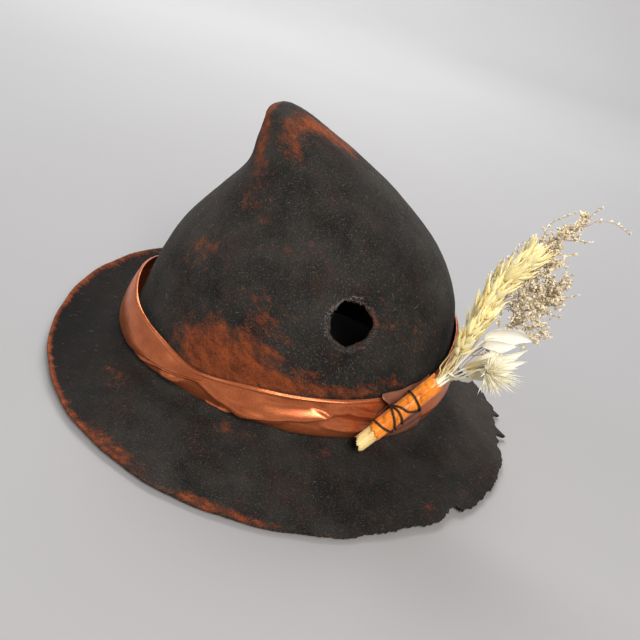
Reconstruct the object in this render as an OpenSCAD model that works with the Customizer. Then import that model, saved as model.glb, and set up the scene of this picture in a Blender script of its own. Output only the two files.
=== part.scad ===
// Pointed witch hat of blocked wool felt with a torn brim, a holed crown, a satin band and a
// bundle of dried flowers lashed in a rolled husk.
// +X is the wearer's front, -Y the wearer's right, +Z up. Millimetres.
// The origin is the centre of the head opening, where the crown turns out into the brim.

/* [Crown] */
// Inside length of the head opening, front to back
opening_length = 200; // [190:1:210]
// Inside width of the head opening, side to side
opening_width = 166; // [158:1:174]
// Thickness of the felt
felt_t = 3; // [2.5:0.5:3.5]
// Height of the tip above the head opening
crown_height = 158; // [145:1:175]
// How far the tip leans back
tip_lean = 39; // [20:1:45]
// Radius of the hole in the right side of the crown
hole_r = 13.5; // [9:0.5:15]
// Height of the hole's centre above the head opening
hole_height = 70; // [64:1:74]

/* [Brim] */
// Brim width at the two sides
brim_side = 61; // [50:1:70]
// Brim width at the front and back
brim_end = 50; // [42:1:60]
// How far the brim's edge hangs below the head opening
brim_drop = 17; // [12:1:22]
// How far the edge is turned up at the back left
brim_lift = 20; // [0:1:24]
// Depth of the torn notch at the front right
notch_depth = 8; // [0:1:9]
// Length of the torn teeth at the front
tooth_length = 5; // [0:1:6]

/* [Band] */
// Usual width of the draped satin band
band_width = 23; // [20:1:26]
// Thickness of the folded satin
band_t = 2.4; // [1.6:0.2:2.6]
// Extra width where the band opens out at the front
band_spread = 32; // [10:1:34]
// Height of the sweatband inside the opening
sweatband_height = 26; // [20:1:30]
// Thickness of the sweatband
sweatband_t = 1.2; // [0.8:0.2:1.6]

/* [Bundle] */
// Outside radius of the rolled husk
husk_r = 5.2; // [5:0.1:5.4]
// Radius of the lashing cord
cord_r = 0.7; // [0.4:0.1:0.7]
// Radius of each dried stem
stem_r = 0.75; // [0.5:0.05:0.8]
// Number of cord turns round the husk
cord_turns = 5; // [3:1:6]

/* [Hidden] */

felt_colour = "#2b2725";
satin_colour = "#b8643c";
keeper_colour = "#6b4030";
sweatband_colour = "#3a2a22";
husk_colour = "#e5852a";
inner_husk_colour = "#e3bd6c";
thread_colour = "#2a1512";
straw_colour = "#e8dba0";
lavender_colour = "#b09a78";
bract_colour = "#f7f1da";

// Half axes of the crown's outside where it meets the brim
base_a = opening_length / 2 + felt_t;
base_b = opening_width / 2 + felt_t;

// Crown stations from the opening to the tip, each
// [height, backward lean, half length, half width], as shares of the full values
crown_stations = [
    [0.00,  0.00, 1.00, 1.00],
    [0.06,  0.00, 1.00, 1.02],
    [0.16,  0.00, 0.97, 1.03],
    [0.30, -0.04, 0.93, 1.00],
    [0.46, -0.07, 0.85, 0.92],
    [0.62, -0.05, 0.68, 0.745],
    [0.755, 0.13, 0.48, 0.55],
    [0.86,  0.47, 0.33, 0.37],
    [0.93,  0.74, 0.215, 0.24],
    [0.975, 0.92, 0.14, 0.15],
    [1.00,  1.00, 0.04, 0.04]
];
last_station = len(crown_stations) - 1;

// Grid of the felt: 5 degrees round, crown rows and brim rows
columns = 72;
crown_rows = 19;
brim_rows = 5;
rows = crown_rows + brim_rows;

// The hole takes a square block of grid cells, drawn into a circle
hole_angle = 290;
hole_col = hole_angle * columns / 360;
hole_block = 2;
hole_reach = 4;

// Lower and upper end of the bundle's axis, and the directions across it
bundle_low = [58, -87, 11.4];
bundle_top = [88.7, -67, 50.7];
bundle_dir = unit(bundle_top - bundle_low);
bundle_out = unit([0.66, -0.75, 0] - ([0.66, -0.75, 0] * bundle_dir) * bundle_dir);
bundle_side = cross(bundle_dir, bundle_out);

// Clearances between pieces that lie on each other
skin_gap = 0.4;
lining_gap = 0.8;
// Half step, in grid places, over which the felt's direction is taken
probe = 0.3;
// Spacing of the stems in the husk: one in the middle, six round it, then an outer ring
stem_pitch = 1.7;
outer_pitch = stem_pitch * sqrt(3);

// ---------------------------------------------------------------- shared functions

function unit(v) = v / norm(v);

function mix(a, b, share) = a + (b - a) * share;

// Shortest signed difference between two angles
function turn(a, b) = let (d = (a - b) % 360) d > 180 ? d - 360 : d < -180 ? d + 360 : d;

// A smooth bump that is 1 at angle `at` and fades over `wide` degrees
function bump(angle, at, wide) = exp(-pow(turn(angle, at) / wide, 2));

// Catmull-Rom curve through the rows of a list, at parameter t from 0 to its last index
function curve_at(list, t) =
    let (
        last = len(list) - 1,
        i = min(floor(max(t, 0)), last - 1),
        u = max(t, 0) - i,
        p1 = list[i],
        p2 = list[i + 1],
        p0 = i > 0 ? list[i - 1] : 2 * p1 - p2,
        p3 = i + 2 <= last ? list[i + 2] : 2 * p2 - p1
    )
    0.5 * (2 * p1 + (p2 - p0) * u + (2 * p0 - 5 * p1 + 4 * p2 - p3) * u * u
        + (3 * p1 - p0 - 3 * p2 + p3) * u * u * u);

function curve(list, steps) =
    [for (k = [0:steps]) curve_at(list, k * (len(list) - 1) / steps)];

// Two triangles for one grid cell, clockwise from outside
function cell(a, b, c, d) = [[a, d, c], [a, c, b]];

// ---------------------------------------------------------------- felt surface

// Outside of the crown at station t and angle
function crown_point(t, angle) =
    let (s = curve_at(crown_stations, t))
    [
        -tip_lean * s[1] + base_a * s[2] * cos(angle),
        base_b * s[3] * sin(angle),
        crown_height * s[0]
    ];

// Station at which the crown reaches a height
function station_at(z) =
    lookup(z / crown_height, [for (i = [0:last_station]) [crown_stations[i][0], i]]);

function brim_width(angle) =
    mix(brim_end, brim_side, pow(sin(angle), 2)) + 2 * cos(angle)
    - 2.5 * bump(angle, 302, 22)
    - notch_depth * bump(angle, 323, 4.5)
    + tooth_length * bump(angle, 15, 2.5)
    - 3 * bump(angle, 8, 3)
    + 0.8 * tooth_length * bump(angle, 4, 2)
    - 2.5 * bump(angle, 357, 4);

function brim_edge_z(angle) =
    -brim_drop + brim_lift * bump(angle, 145, 45) - 1.5 * bump(angle, 270, 40);

// Upper face of the brim, s from 0 at the crown to 1 at the edge
function brim_point(s, angle) =
    let (
        normal = unit([base_b * cos(angle), base_a * sin(angle)]),
        reach = brim_width(angle) * s,
        trough = 7 * sin(180 * min(s, 1)) * bump(angle, 155, 60)
    )
    [
        base_a * cos(angle) + normal[0] * reach,
        base_b * sin(angle) + normal[1] * reach,
        brim_edge_z(angle) * pow(max(s, 0), 1.3) - trough
    ];

// Upper or outer face of the felt at a grid place: row 0 is the brim's edge
function felt_point(row, col) =
    let (angle = col * 360 / columns)
    row <= brim_rows
        ? brim_point(1 - row / brim_rows, angle)
        : crown_point((row - brim_rows) * last_station / crown_rows, angle);

function felt_normal(row, col) =
    let (
        low = max(row - probe, 0),
        high = min(row + probe, rows),
        along = felt_point(high, col) - felt_point(low, col),
        round = felt_point(row, col + probe) - felt_point(row, col - probe)
    )
    unit(cross(round, along));

function felt_under(row, col) = felt_point(row, col) - felt_t * felt_normal(row, col);

// ---------------------------------------------------------------- hole in the crown

hole_place = brim_rows + station_at(hole_height) * crown_rows / last_station;
hole_row = round(hole_place);
// Size of one grid cell at the hole
cell_up = norm(felt_point(hole_row + 1, hole_col) - felt_point(hole_row - 1, hole_col)) / 2;
cell_round = norm(felt_point(hole_row, hole_col + 1) - felt_point(hole_row, hole_col - 1)) / 2;

// Burnt edge: the radius wanders a little round the hole
function ragged(angle) = 1 + 0.05 * sin(3 * angle + 40) + 0.03 * sin(7 * angle);

// Grid place after the block round the hole is drawn into a circle
function warped(row, col) =
    let (
        up = row - hole_row,
        side = turn(col * 360 / columns, hole_angle) * columns / 360,
        q = max(abs(up), abs(side)),
        r = norm([up, side]),
        mm = q <= hole_block
            ? hole_r * q / hole_block
            : hole_r + (q - hole_block) * (cell_up + cell_round) / 2,
        edge = ragged(atan2(up, side)),
        blend = q <= hole_block ? 1 : (hole_reach - q) / (hole_reach - hole_block),
        shift = hole_place - hole_row
    )
    q == 0 || q >= hole_reach
        ? [row, col]
        : [
            row - up + mix(up, shift + mm * edge * up / r / cell_up, blend),
            col - side + mix(side, mm * edge * side / r / cell_round, blend)
        ];

// True for a grid cell that the hole removes
function in_hole(row, col) =
    row >= hole_row - hole_block && row < hole_row + hole_block
    && col >= hole_col - hole_block && col < hole_col + hole_block;

// Grid corners round the block, in order
hole_ring = concat(
    [for (k = [-hole_block:hole_block - 1]) [hole_row - hole_block, hole_col + k]],
    [for (k = [-hole_block:hole_block - 1]) [hole_row + k, hole_col + hole_block]],
    [for (k = [hole_block:-1:1 - hole_block]) [hole_row + hole_block, hole_col + k]],
    [for (k = [hole_block:-1:1 - hole_block]) [hole_row + k, hole_col - hole_block]]
);

// ---------------------------------------------------------------- generic solids

// Closed solid swept along points; sizes are [half width along `flat`, half depth]
module sweep(points, sizes, flat, sides) {
    last = len(points) - 1;
    function ahead(i) = unit(points[min(i + 1, last)] - points[max(i - 1, 0)]);
    function wide(i) = unit(flat - (flat * ahead(i)) * ahead(i));
    verts = [
        for (i = [0:last])
            for (k = [0:sides - 1])
                points[i]
                + wide(i) * sizes[i][0] * cos(k * 360 / sides)
                + cross(ahead(i), wide(i)) * sizes[i][1] * sin(k * 360 / sides)
    ];
    function at(i, k) = i * sides + k % sides;
    walls = [
        for (i = [0:last - 1])
            for (k = [0:sides - 1])
                each cell(at(i, k), at(i, k + 1), at(i + 1, k + 1), at(i + 1, k))
    ];
    low_cap = [for (k = [1:sides - 2]) [at(0, 0), at(0, k), at(0, k + 1)]];
    high_cap = [for (k = [1:sides - 2]) [at(last, 0), at(last, k + 1), at(last, k)]];
    polyhedron(verts, concat(walls, low_cap, high_cap), convexity = 8);
}

// Closed ring of cross sections; sections[i][k] are points, both directions wrap round
module ring_solid(sections) {
    count = len(sections);
    sides = len(sections[0]);
    function at(i, k) = (i % count) * sides + k % sides;
    polyhedron(
        [for (s = sections) each s],
        [
            for (i = [0:count - 1])
                for (k = [0:sides - 1])
                    each cell(at(i, k), at(i + 1, k), at(i + 1, k + 1), at(i, k + 1))
        ],
        convexity = 8
    );
}

// Straight rod with round ends
module rod(from, to, r_from, r_to, facets = 6) {
    hull() {
        translate(from) sphere(r_from, $fn = facets);
        translate(to) sphere(r_to, $fn = facets);
    }
}

// ---------------------------------------------------------------- felt body

module felt_body() {
    // Rows 0 to rows - 1 are full rings; the tip is one more point on each face
    ring_count = rows;
    face_size = ring_count * columns + 1;
    places = [
        for (i = [0:ring_count - 1])
            for (j = [0:columns - 1])
                warped(i, j)
    ];
    tip = [-tip_lean, 0, crown_height];
    outside = concat([for (p = places) felt_point(p[0], p[1])], [tip]);
    inside = concat([for (p = places) felt_under(p[0], p[1])], [tip - [0, 0, felt_t]]);
    function out(i, j) = i * columns + (j + columns) % columns;
    function inn(i, j) = face_size + out(i, j);
    out_tip = face_size - 1;
    inn_tip = 2 * face_size - 1;
    outer_faces = [
        for (i = [0:ring_count - 2])
            for (j = [0:columns - 1])
                if (!in_hole(i, j))
                    each cell(out(i, j), out(i, j + 1), out(i + 1, j + 1), out(i + 1, j))
    ];
    inner_faces = [
        for (i = [0:ring_count - 2])
            for (j = [0:columns - 1])
                if (!in_hole(i, j))
                    each cell(inn(i + 1, j), inn(i + 1, j + 1), inn(i, j + 1), inn(i, j))
    ];
    top_faces = [
        for (j = [0:columns - 1])
            each [
                [out(ring_count - 1, j), out_tip, out(ring_count - 1, j + 1)],
                [inn(ring_count - 1, j), inn(ring_count - 1, j + 1), inn_tip]
            ]
    ];
    edge_faces = [
        for (j = [0:columns - 1])
            each cell(inn(0, j), inn(0, j + 1), out(0, j + 1), out(0, j))
    ];
    ring_length = len(hole_ring);
    function hole_corner(k) = hole_ring[k % ring_length];
    hole_faces = [
        for (k = [0:ring_length - 1])
            let (a = hole_corner(k), b = hole_corner(k + 1))
            each cell(out(a[0], a[1]), out(b[0], b[1]), inn(b[0], b[1]), inn(a[0], a[1]))
    ];
    color(felt_colour)
        polyhedron(
            concat(outside, inside),
            concat(outer_faces, inner_faces, top_faces, edge_faces, hole_faces),
            convexity = 10
        );
}

// ---------------------------------------------------------------- bands

// Strip sewn round the inside of the opening
module sweatband() {
    outer_face = -felt_t - lining_gap;
    inner_face = outer_face - sweatband_t;
    color(sweatband_colour)
        ring_solid([
            for (angle = [0:5:355])
                [
                    on_crown(1, angle, inner_face),
                    on_crown(1, angle, outer_face),
                    on_crown(sweatband_height, angle, outer_face),
                    on_crown(sweatband_height, angle, inner_face)
                ]
        ]);
}

// Lower and upper edge of the satin band round the crown
function band_low(angle) = 1.2 + 14 * bump(angle, 10, 45);

function band_high(angle) =
    band_width + 1
    + band_spread * bump(angle, 15, 50)
    + 3 * bump(angle, 295, 25)
    + 8 * bump(angle, 180, 25)
    - 7 * bump(angle, 245, 12);

// How far the drape stands off the crown
function band_offset(angle) =
    skin_gap + 3.5 * bump(angle, 195, 35) + 2.5 * bump(angle, 165, 25) + 1.5 * bump(angle, 5, 30);

// A place on the crown at height z, moved out by `off`
function on_crown(z, angle, off) =
    let (
        t = station_at(z),
        p = crown_point(t, angle),
        up = crown_point(t + 0.1, angle) - crown_point(max(t - 0.1, 0), angle),
        round = crown_point(t, angle + 1) - crown_point(t, angle - 1)
    )
    p + off * unit(cross(round, up));

// Cross section of a band: up its outer face, then down its inner face
function band_section(angle, low, high, inner, outer) =
    let (steps = 4)
    concat(
        [
            for (k = [0:steps])
                on_crown(mix(low, high, k / steps), angle, outer - 0.7 * pow(2 * k / steps - 1, 2))
        ],
        [for (k = [steps:-1:0]) on_crown(mix(low, high, k / steps), angle, inner)]
    );

module satin_band() {
    color(satin_colour)
        ring_solid([
            for (angle = [0:5:355])
                let (off = band_offset(angle))
                band_section(angle, band_low(angle), band_high(angle), off, off + band_t)
        ]);
}

// Brown strip that crosses the satin band under the bundle
module band_keeper() {
    start = 306;
    span = 20;
    steps = 5;
    inner = skin_gap + band_t + lining_gap;
    sections = [
        for (i = [0:steps])
            let (angle = start + span * i / steps)
            band_section(angle, band_low(angle) + 1, band_high(angle) + 1, inner, inner + 1)
    ];
    sides = len(sections[0]);
    function at(i, k) = i * sides + k % sides;
    color(keeper_colour)
        polyhedron(
            [for (s = sections) each s],
            concat(
                [
                    for (i = [0:steps - 1])
                        for (k = [0:sides - 1])
                            each cell(at(i, k), at(i + 1, k), at(i + 1, k + 1), at(i, k + 1))
                ],
                [for (k = [1:sides - 2]) [at(0, 0), at(0, k + 1), at(0, k)]],
                [for (k = [1:sides - 2]) [at(steps, 0), at(steps, k), at(steps, k + 1)]]
            )
        );
}

// ---------------------------------------------------------------- husk and lashing

// A place along the bundle's axis, off it by r at an angle from its right side
function bundle_point(along, r, angle) =
    bundle_low + bundle_dir * along
    + r * cos(angle) * bundle_side + r * sin(angle) * bundle_out;

bundle_length = norm(bundle_top - bundle_low);

// Rolled leaf: a tube with a rippled outside and slanted, ragged ends
module husk_tube(from, to, r_out, r_in) {
    sides = 20;
    steps = 8;
    function ripple(angle, i) = 1 + 0.03 * sin(5 * angle + 60 * i);
    function end_shift(angle) = 1.5 * cos(angle + 40) + 0.8 * sin(4 * angle);
    function along(i, angle) = mix(from, to, i / steps) + end_shift(angle);
    sections = [
        for (j = [0:sides - 1])
            let (angle = -j * 360 / sides)
            concat(
                [
                    for (i = [0:steps])
                        bundle_point(along(i, angle), r_out * ripple(angle, i), angle)
                ],
                [for (i = [steps:-1:0]) bundle_point(along(i, angle), r_in, angle)]
            )
    ];
    ring_solid(sections);
}

husk_wall = 0.55;
inner_husk_r = husk_r * 0.97 - husk_wall - 0.05;
bore_r = inner_husk_r - 0.45;

module husk_wrap() {
    color(husk_colour) husk_tube(8, bundle_length - 2, husk_r, inner_husk_r + 0.1);
}

module inner_husk() {
    color(inner_husk_colour)
        husk_tube(-4, bundle_length - 5, inner_husk_r / 1.03, bore_r);
}

module binding_thread() {
    per_turn = 12;
    count = cord_turns * per_turn;
    r = husk_r * 1.03 + cord_r + 0.15;
    path = [
        for (i = [0:count])
            bundle_point(
                mix(9, bundle_length - 12, i / count) + 2 * sin(i * 360 / per_turn + 60),
                r,
                -i * 360 / per_turn
            )
    ];
    color(thread_colour)
        sweep(path, [for (p = path) [cord_r, cord_r]], bundle_dir, 6);
}

// ---------------------------------------------------------------- dried plants

// The stem's first points, inside the husk, then through the listed places
function stem_path(r, angle, places) =
    concat(
        [
            bundle_point(-2, r, angle),
            bundle_point(bundle_length / 2, r, angle),
            bundle_point(bundle_length, r, angle),
            bundle_point(bundle_length + 5, 1.5 * r, angle)
        ],
        places
    );

module stem(r, angle, places) {
    path = curve(stem_path(r, angle, places), 3 * (len(places) + 3));
    sweep(path, [for (p = path) [stem_r, stem_r]], bundle_out, 6);
}

// Grain ear: rows of pointed spikelets that overlap up the axis
module ear(places, rows_up, plump) {
    steps = 2 * rows_up;
    axis = curve(places, steps);
    rachis_r = 0.26 * plump;
    sweep(axis, [for (p = axis) [rachis_r, rachis_r]], bundle_out, 6);
    for (i = [0:steps - 2]) {
        ahead = unit(axis[i + 1] - axis[i]);
        side = unit(cross(ahead, bundle_out));
        front = cross(side, ahead);
        swell = plump * (0.65 + 0.35 * sin(180 * (i + 2) / (steps + 2)));
        sway = i % 2 == 0 ? 1 : -1;
        for (lean = [-1, 1]) {
            foot = axis[i] + (side * 0.35 * lean + front * 0.2 * sway) * swell;
            point = axis[i] + ahead * swell * 1.6 + (side * lean + front * 0.5 * sway) * swell;
            rod(foot, point, swell * 0.42, swell * 0.13, 5);
        }
    }
}

long_ear = [[95.5, -59.5, 79], [99, -57, 98], [104.5, -54.5, 117], [116, -50, 136]];
short_ear = [[90.5, -72, 71], [93, -73, 84], [97.5, -73, 98]];

module wheat_ear_long() {
    color(straw_colour) {
        stem(stem_pitch, 240, [[93.5, -61.8, 65], long_ear[0], long_ear[1]]);
        ear(long_ear, 7, 7.5);
    }
}

module wheat_ear_short() {
    color(straw_colour) {
        stem(stem_pitch, 180, [[90.5, -68, 62], short_ear[0], short_ear[1]]);
        ear(short_ear, 5, 5.5);
    }
}

// Branching spray: side twigs with small flower heads, spreading to one side
module spray(places, twigs, reach, spread_to, seed) {
    axis = curve(places, 8);
    jitter = rands(-1, 1, twigs * 3, seed);
    sweep(axis, [for (i = [0:8]) [0.7 - 0.05 * i, 0.7 - 0.05 * i]], bundle_out, 5);
    for (k = [0:twigs - 1]) {
        from = curve_at(axis, 1.5 + 6.3 * k / (twigs - 1));
        ahead = unit(places[len(places) - 1] - places[0]);
        wobble = [jitter[3 * k], jitter[3 * k + 1], jitter[3 * k + 2]];
        go = unit(ahead + spread_to * (k % 2 == 0 ? 1 : 0.1) + wobble * 0.6);
        to = from + go * reach * (1 - 0.4 * k / twigs);
        rod(from, to, 0.45, 0.4, 4);
        translate(to) sphere(1.9, $fn = 5);
    }
}

mid_spray = [[105, -50, 87], [109.5, -46.5, 103], [116, -44.5, 116], [123, -41.5, 129]];
near_spray = [[111, -58, 81], [117, -55, 94], [124, -52, 105], [131, -50, 114]];
far_spray = [[110, -41, 109], [118, -39, 128], [131, -36, 147], [152, -35, 156]];

module sea_lavender_mid() {
    color(lavender_colour) {
        stem(0, 0, [[98, -57, 68], mid_spray[0]]);
        spray(mid_spray, 14, 14, [0.9, -0.1, -0.2], 6);
    }
}

module sea_lavender_near() {
    color(lavender_colour) {
        stem(stem_pitch, 0, [[100, -60, 67], near_spray[0]]);
        spray(near_spray, 12, 13, [0.9, 0.1, -0.7], 9);
    }
}

module sea_lavender_far() {
    color(lavender_colour) {
        stem(stem_pitch, 300, [[96, -53, 67], [103, -43, 83], far_spray[0]]);
        spray(far_spray, 12, 13, [0.2, 0.9, 0.2], 15);
    }
}

// Papery leaf: thin, widest a third of the way out
module leaf(places, half_width, flat) {
    steps = 10;
    path = curve(places, steps);
    function share(i) = pow(sin(180 * min(pow(i / steps, 0.75), 0.97)), 0.8);
    sweep(
        path,
        [for (i = [0:steps]) [max(half_width * share(i), 0.5), 0.45]],
        flat,
        8
    );
}

white_leaf = [[102, -69.5, 83], [107, -71.5, 88], [116, -71.5, 91.5], [127, -68.5, 90.3]];
upper_leaf = [[97, -74, 65], [103.5, -75, 70], [114, -75, 78], [125.1, -72.5, 86]];
lower_leaf = [[98.2, -78.5, 66], [104.5, -79, 70], [115.5, -79, 77], [126.2, -77, 82]];
slim_leaf = [[96, -71, 57], [98.7, -73.5, 59], [101.3, -76, 61.2], [104, -78, 64]];
leaf_flat = [-0.35, -0.2, 0.9];

module white_bract() {
    color(bract_colour) {
        stem(stem_pitch, 120, [[96, -67.5, 67], white_leaf[0], white_leaf[1]]);
        leaf(white_leaf, 5, leaf_flat);
    }
}

module yellow_bract_upper() {
    color(bract_colour) {
        stem(stem_pitch, 60, [[94.5, -69.8, 59], upper_leaf[0], upper_leaf[1]]);
        leaf(upper_leaf, 3.2, leaf_flat);
    }
}

module yellow_bract_lower() {
    color(bract_colour) {
        stem(outer_pitch, 150, [[94.2, -74, 59], lower_leaf[0], lower_leaf[1]]);
        leaf(lower_leaf, 3.2, leaf_flat);
    }
}

module slim_bract() {
    color(bract_colour) {
        stem(outer_pitch, 30, [slim_leaf[0], slim_leaf[1]]);
        leaf(slim_leaf, 1.8, leaf_flat);
    }
}

// Fluffy head: thin bristles that fan from a small core
module bristle_head() {
    core = [105.2, -90, 75.5];
    heading = unit([0.88, -0.38, 0.28]);
    reach = 20;
    side = unit(cross(heading, [0, 0, 1]));
    up = cross(side, heading);
    count = 22;
    golden = 137.5;
    color(straw_colour) {
        stem(outer_pitch, 90, [[95.5, -79, 61], core - heading * 5, core]);
        translate(core) sphere(2.2, $fn = 8);
        for (k = [0:count - 1]) {
            tilt = 62 * sqrt((k + 0.5) / count);
            go = heading * cos(tilt) + sin(tilt) * (side * cos(k * golden) + up * sin(k * golden));
            rod(core, core + go * reach * (1 - 0.4 * sin(tilt)), 0.5, 0.3, 4);
        }
    }
}

felt_body();
sweatband();
satin_band();
band_keeper();
husk_wrap();
inner_husk();
binding_thread();
wheat_ear_long();
wheat_ear_short();
sea_lavender_mid();
sea_lavender_near();
sea_lavender_far();
white_bract();
yellow_bract_upper();
yellow_bract_lower();
slim_bract();
bristle_head();
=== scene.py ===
"""Visual model of a pointed witch hat: blocked wool felt with a torn brim and a holed crown, a
draped satin band with its keeper, and a bundle of dried flowers lashed in a rolled husk.

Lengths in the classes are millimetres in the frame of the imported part: +X is the wearer's front,
-Y the wearer's right, +Z up, and the origin is the centre of the head opening.
"""
import logging
import math
from collections.abc import Mapping, Sequence
from dataclasses import dataclass, field
from enum import Enum

import bpy
import numpy as np
from mathutils import Matrix, Vector


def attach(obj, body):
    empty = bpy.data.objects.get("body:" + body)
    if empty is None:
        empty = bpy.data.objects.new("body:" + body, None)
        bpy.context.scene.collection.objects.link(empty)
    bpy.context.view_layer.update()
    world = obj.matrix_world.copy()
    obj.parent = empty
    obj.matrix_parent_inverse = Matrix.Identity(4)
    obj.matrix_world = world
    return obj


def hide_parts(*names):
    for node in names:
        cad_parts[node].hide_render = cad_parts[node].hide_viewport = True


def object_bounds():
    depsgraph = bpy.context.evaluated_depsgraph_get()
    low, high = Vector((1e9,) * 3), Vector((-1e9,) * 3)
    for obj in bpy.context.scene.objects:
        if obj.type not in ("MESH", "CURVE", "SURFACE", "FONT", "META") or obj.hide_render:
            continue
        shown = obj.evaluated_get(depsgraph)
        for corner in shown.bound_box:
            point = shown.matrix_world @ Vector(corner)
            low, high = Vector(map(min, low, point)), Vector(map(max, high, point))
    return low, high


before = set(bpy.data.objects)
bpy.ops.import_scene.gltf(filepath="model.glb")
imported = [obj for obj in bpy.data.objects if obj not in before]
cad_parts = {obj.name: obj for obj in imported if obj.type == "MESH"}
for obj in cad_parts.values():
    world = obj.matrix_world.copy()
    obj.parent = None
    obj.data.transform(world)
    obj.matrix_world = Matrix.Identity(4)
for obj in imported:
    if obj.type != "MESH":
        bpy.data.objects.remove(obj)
CAD_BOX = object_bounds()

MM = 0.001
Array = np.ndarray
Colour = tuple[float, float, float, float]
LOG = logging.getLogger("witch_hat")


class Body(Enum):
    """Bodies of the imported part: the hat has no joint, so there is one."""

    HAT = "root"


class Slot(Enum):
    """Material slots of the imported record."""

    FELT = "felt"
    SWEATBAND = "sweatband"
    SATIN = "satin"
    KEEPER = "keeper"
    HUSK = "husk"
    INNER_HUSK = "inner_husk"
    CORD = "cord"
    STRAW = "straw"
    LAVENDER = "lavender"
    BRACT = "bract"


# ------------------------------------------------------------------ small shared sums


def unit(v: Array) -> Array:
    """Vectors scaled to length 1 along the last axis."""
    return v / np.maximum(np.linalg.norm(v, axis=-1, keepdims=True), 1e-9)


def mix(a: Array | float, b: Array | float, share: Array | float) -> Array | float:
    """Value between a and b at a share from 0 to 1."""
    return a + (b - a) * share


def ease(x: Array, low: float, high: float) -> Array:
    """Smooth step from 0 at low to 1 at high."""
    t = np.clip((x - low) / (high - low), 0, 1)
    return t * t * (3 - 2 * t)


def turn(a: Array, b: Array | float) -> Array:
    """Shortest signed difference of two angles in degrees."""
    return (a - b + 180) % 360 - 180


def bump(angle: Array, at: float, wide: float) -> Array:
    """Smooth bump, 1 at the angle `at`, that fades over `wide` degrees."""
    return np.exp(-((turn(angle, at) / wide) ** 2))


def catmull(rows: Array, t: Array) -> Array:
    """Catmull-Rom curve through rows.

    Args:
        rows: Points or value rows, one per whole parameter.
        t: Parameters from 0 to the last row's index.

    Returns:
        One row for each parameter.
    """
    last = len(rows) - 1
    t = np.clip(t, 0, last)
    i = np.minimum(t.astype(int), last - 1)
    u = (t - i)[..., None]
    padded = np.vstack([2 * rows[0] - rows[1], rows, 2 * rows[-1] - rows[-2]])
    p0, p1, p2, p3 = (padded[i + k] for k in range(4))
    cubic = 3 * p1 - p0 - 3 * p2 + p3
    return 0.5 * (2 * p1 + (p2 - p0) * u + (2 * p0 - 5 * p1 + 4 * p2 - p3) * u * u + cubic * u**3)


def curve(rows: Sequence[Sequence[float]], steps: int) -> Array:
    """Catmull-Rom curve through places, sampled evenly in its parameter."""
    places = np.array(rows, float)
    return catmull(places, np.linspace(0, len(places) - 1, steps + 1))


@dataclass(frozen=True)
class Waves:
    """Gentle unevenness of handmade work: seeded sine waves summed through space."""

    length: float
    seed: int
    count: int = 10

    def at(self, places: Array) -> Array:
        """Heights, mostly from -1 to 1, at places in millimetres.

        Args:
            places: Shape (..., 3).

        Returns:
            One height for each place.
        """
        rng = np.random.default_rng(self.seed)
        ways = unit(rng.normal(size=(self.count, 3)))
        ways *= 2 * math.pi / self.length * rng.uniform(0.6, 1.7, (self.count, 1))
        phases = rng.uniform(0, 2 * math.pi, self.count)
        return np.sin(places @ ways.T + phases).sum(-1) / math.sqrt(self.count)


def grid_faces(rows: int, columns: int, closed: bool) -> Array:
    """Four-sided faces of a grid of vertices stored row by row.

    Args:
        rows: Rows of vertices.
        columns: Vertices in a row.
        closed: True where each row's end joins its start.

    Returns:
        Vertex numbers, shape (rows - 1, cells, 4).
    """
    i = np.arange(rows - 1)[:, None] * columns
    j = np.arange(columns if closed else columns - 1)[None, :]
    k = (j + 1) % columns
    return np.stack([i + j, i + k, i + columns + k, i + columns + j], axis=-1)


def closed_strip(outer: Array, inner: Array) -> tuple[Array, Array, Array]:
    """Joins two open grids round their edges into one closed strip.

    Args:
        outer: Outer face, shape (rows, columns, 3).
        inner: Inner face, same shape.

    Returns:
        Points, the faces of both sides and the faces round the edge.
    """
    rows, columns = outer.shape[:2]
    back = rows * columns
    front = grid_faces(rows, columns, False).reshape(-1, 4)
    number = np.arange(back).reshape(rows, columns)
    rim = np.concatenate([number[0, :-1], number[:-1, -1], number[-1, :0:-1], number[:0:-1, 0]])
    after = np.roll(rim, -1)
    edge = np.stack([rim, rim + back, after + back, after], -1)
    points = np.concatenate([outer.reshape(-1, 3), inner.reshape(-1, 3)])
    return points, np.concatenate([front, front[:, ::-1] + back]), edge


def tubes(
    paths: Array, wide: Array, deep: Array, flat: Array, sides: int
) -> tuple[Array, Array, Array]:
    """Closed round or flattened rods along many paths at once.

    Args:
        paths: Centre lines, shape (rods, points, 3).
        wide: Half widths, shape (rods, points) or broadcast to it.
        deep: Half depths, likewise.
        flat: Direction of the width, shape (rods, 3) or (3,).
        sides: Sides of each cross section.

    Returns:
        Points, the four-sided wall faces and the end faces.
    """
    rods, steps, _ = paths.shape
    wide = np.broadcast_to(wide, (rods, steps))
    deep = np.broadcast_to(deep, (rods, steps))
    ahead = unit(np.gradient(paths, axis=1))
    flat = np.broadcast_to(flat, (rods, 3))[:, None, :]
    across = unit(flat - (flat * ahead).sum(-1, keepdims=True) * ahead)
    depth = np.cross(ahead, across)
    a = np.arange(sides) * 2 * math.pi / sides
    ring = across[:, :, None] * (wide[..., None] * np.cos(a))[..., None]
    ring = ring + depth[:, :, None] * (deep[..., None] * np.sin(a))[..., None]
    points = (paths[:, :, None] + ring).reshape(-1, 3)
    first = np.arange(rods)[:, None, None, None] * steps * sides
    walls = (grid_faces(steps, sides, True)[None] + first).reshape(-1, 4)
    low = first[:, 0, 0] + np.arange(sides)[::-1]
    high = first[:, 0, 0] + (steps - 1) * sides + np.arange(sides)
    return points, walls, np.concatenate([low, high])


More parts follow.
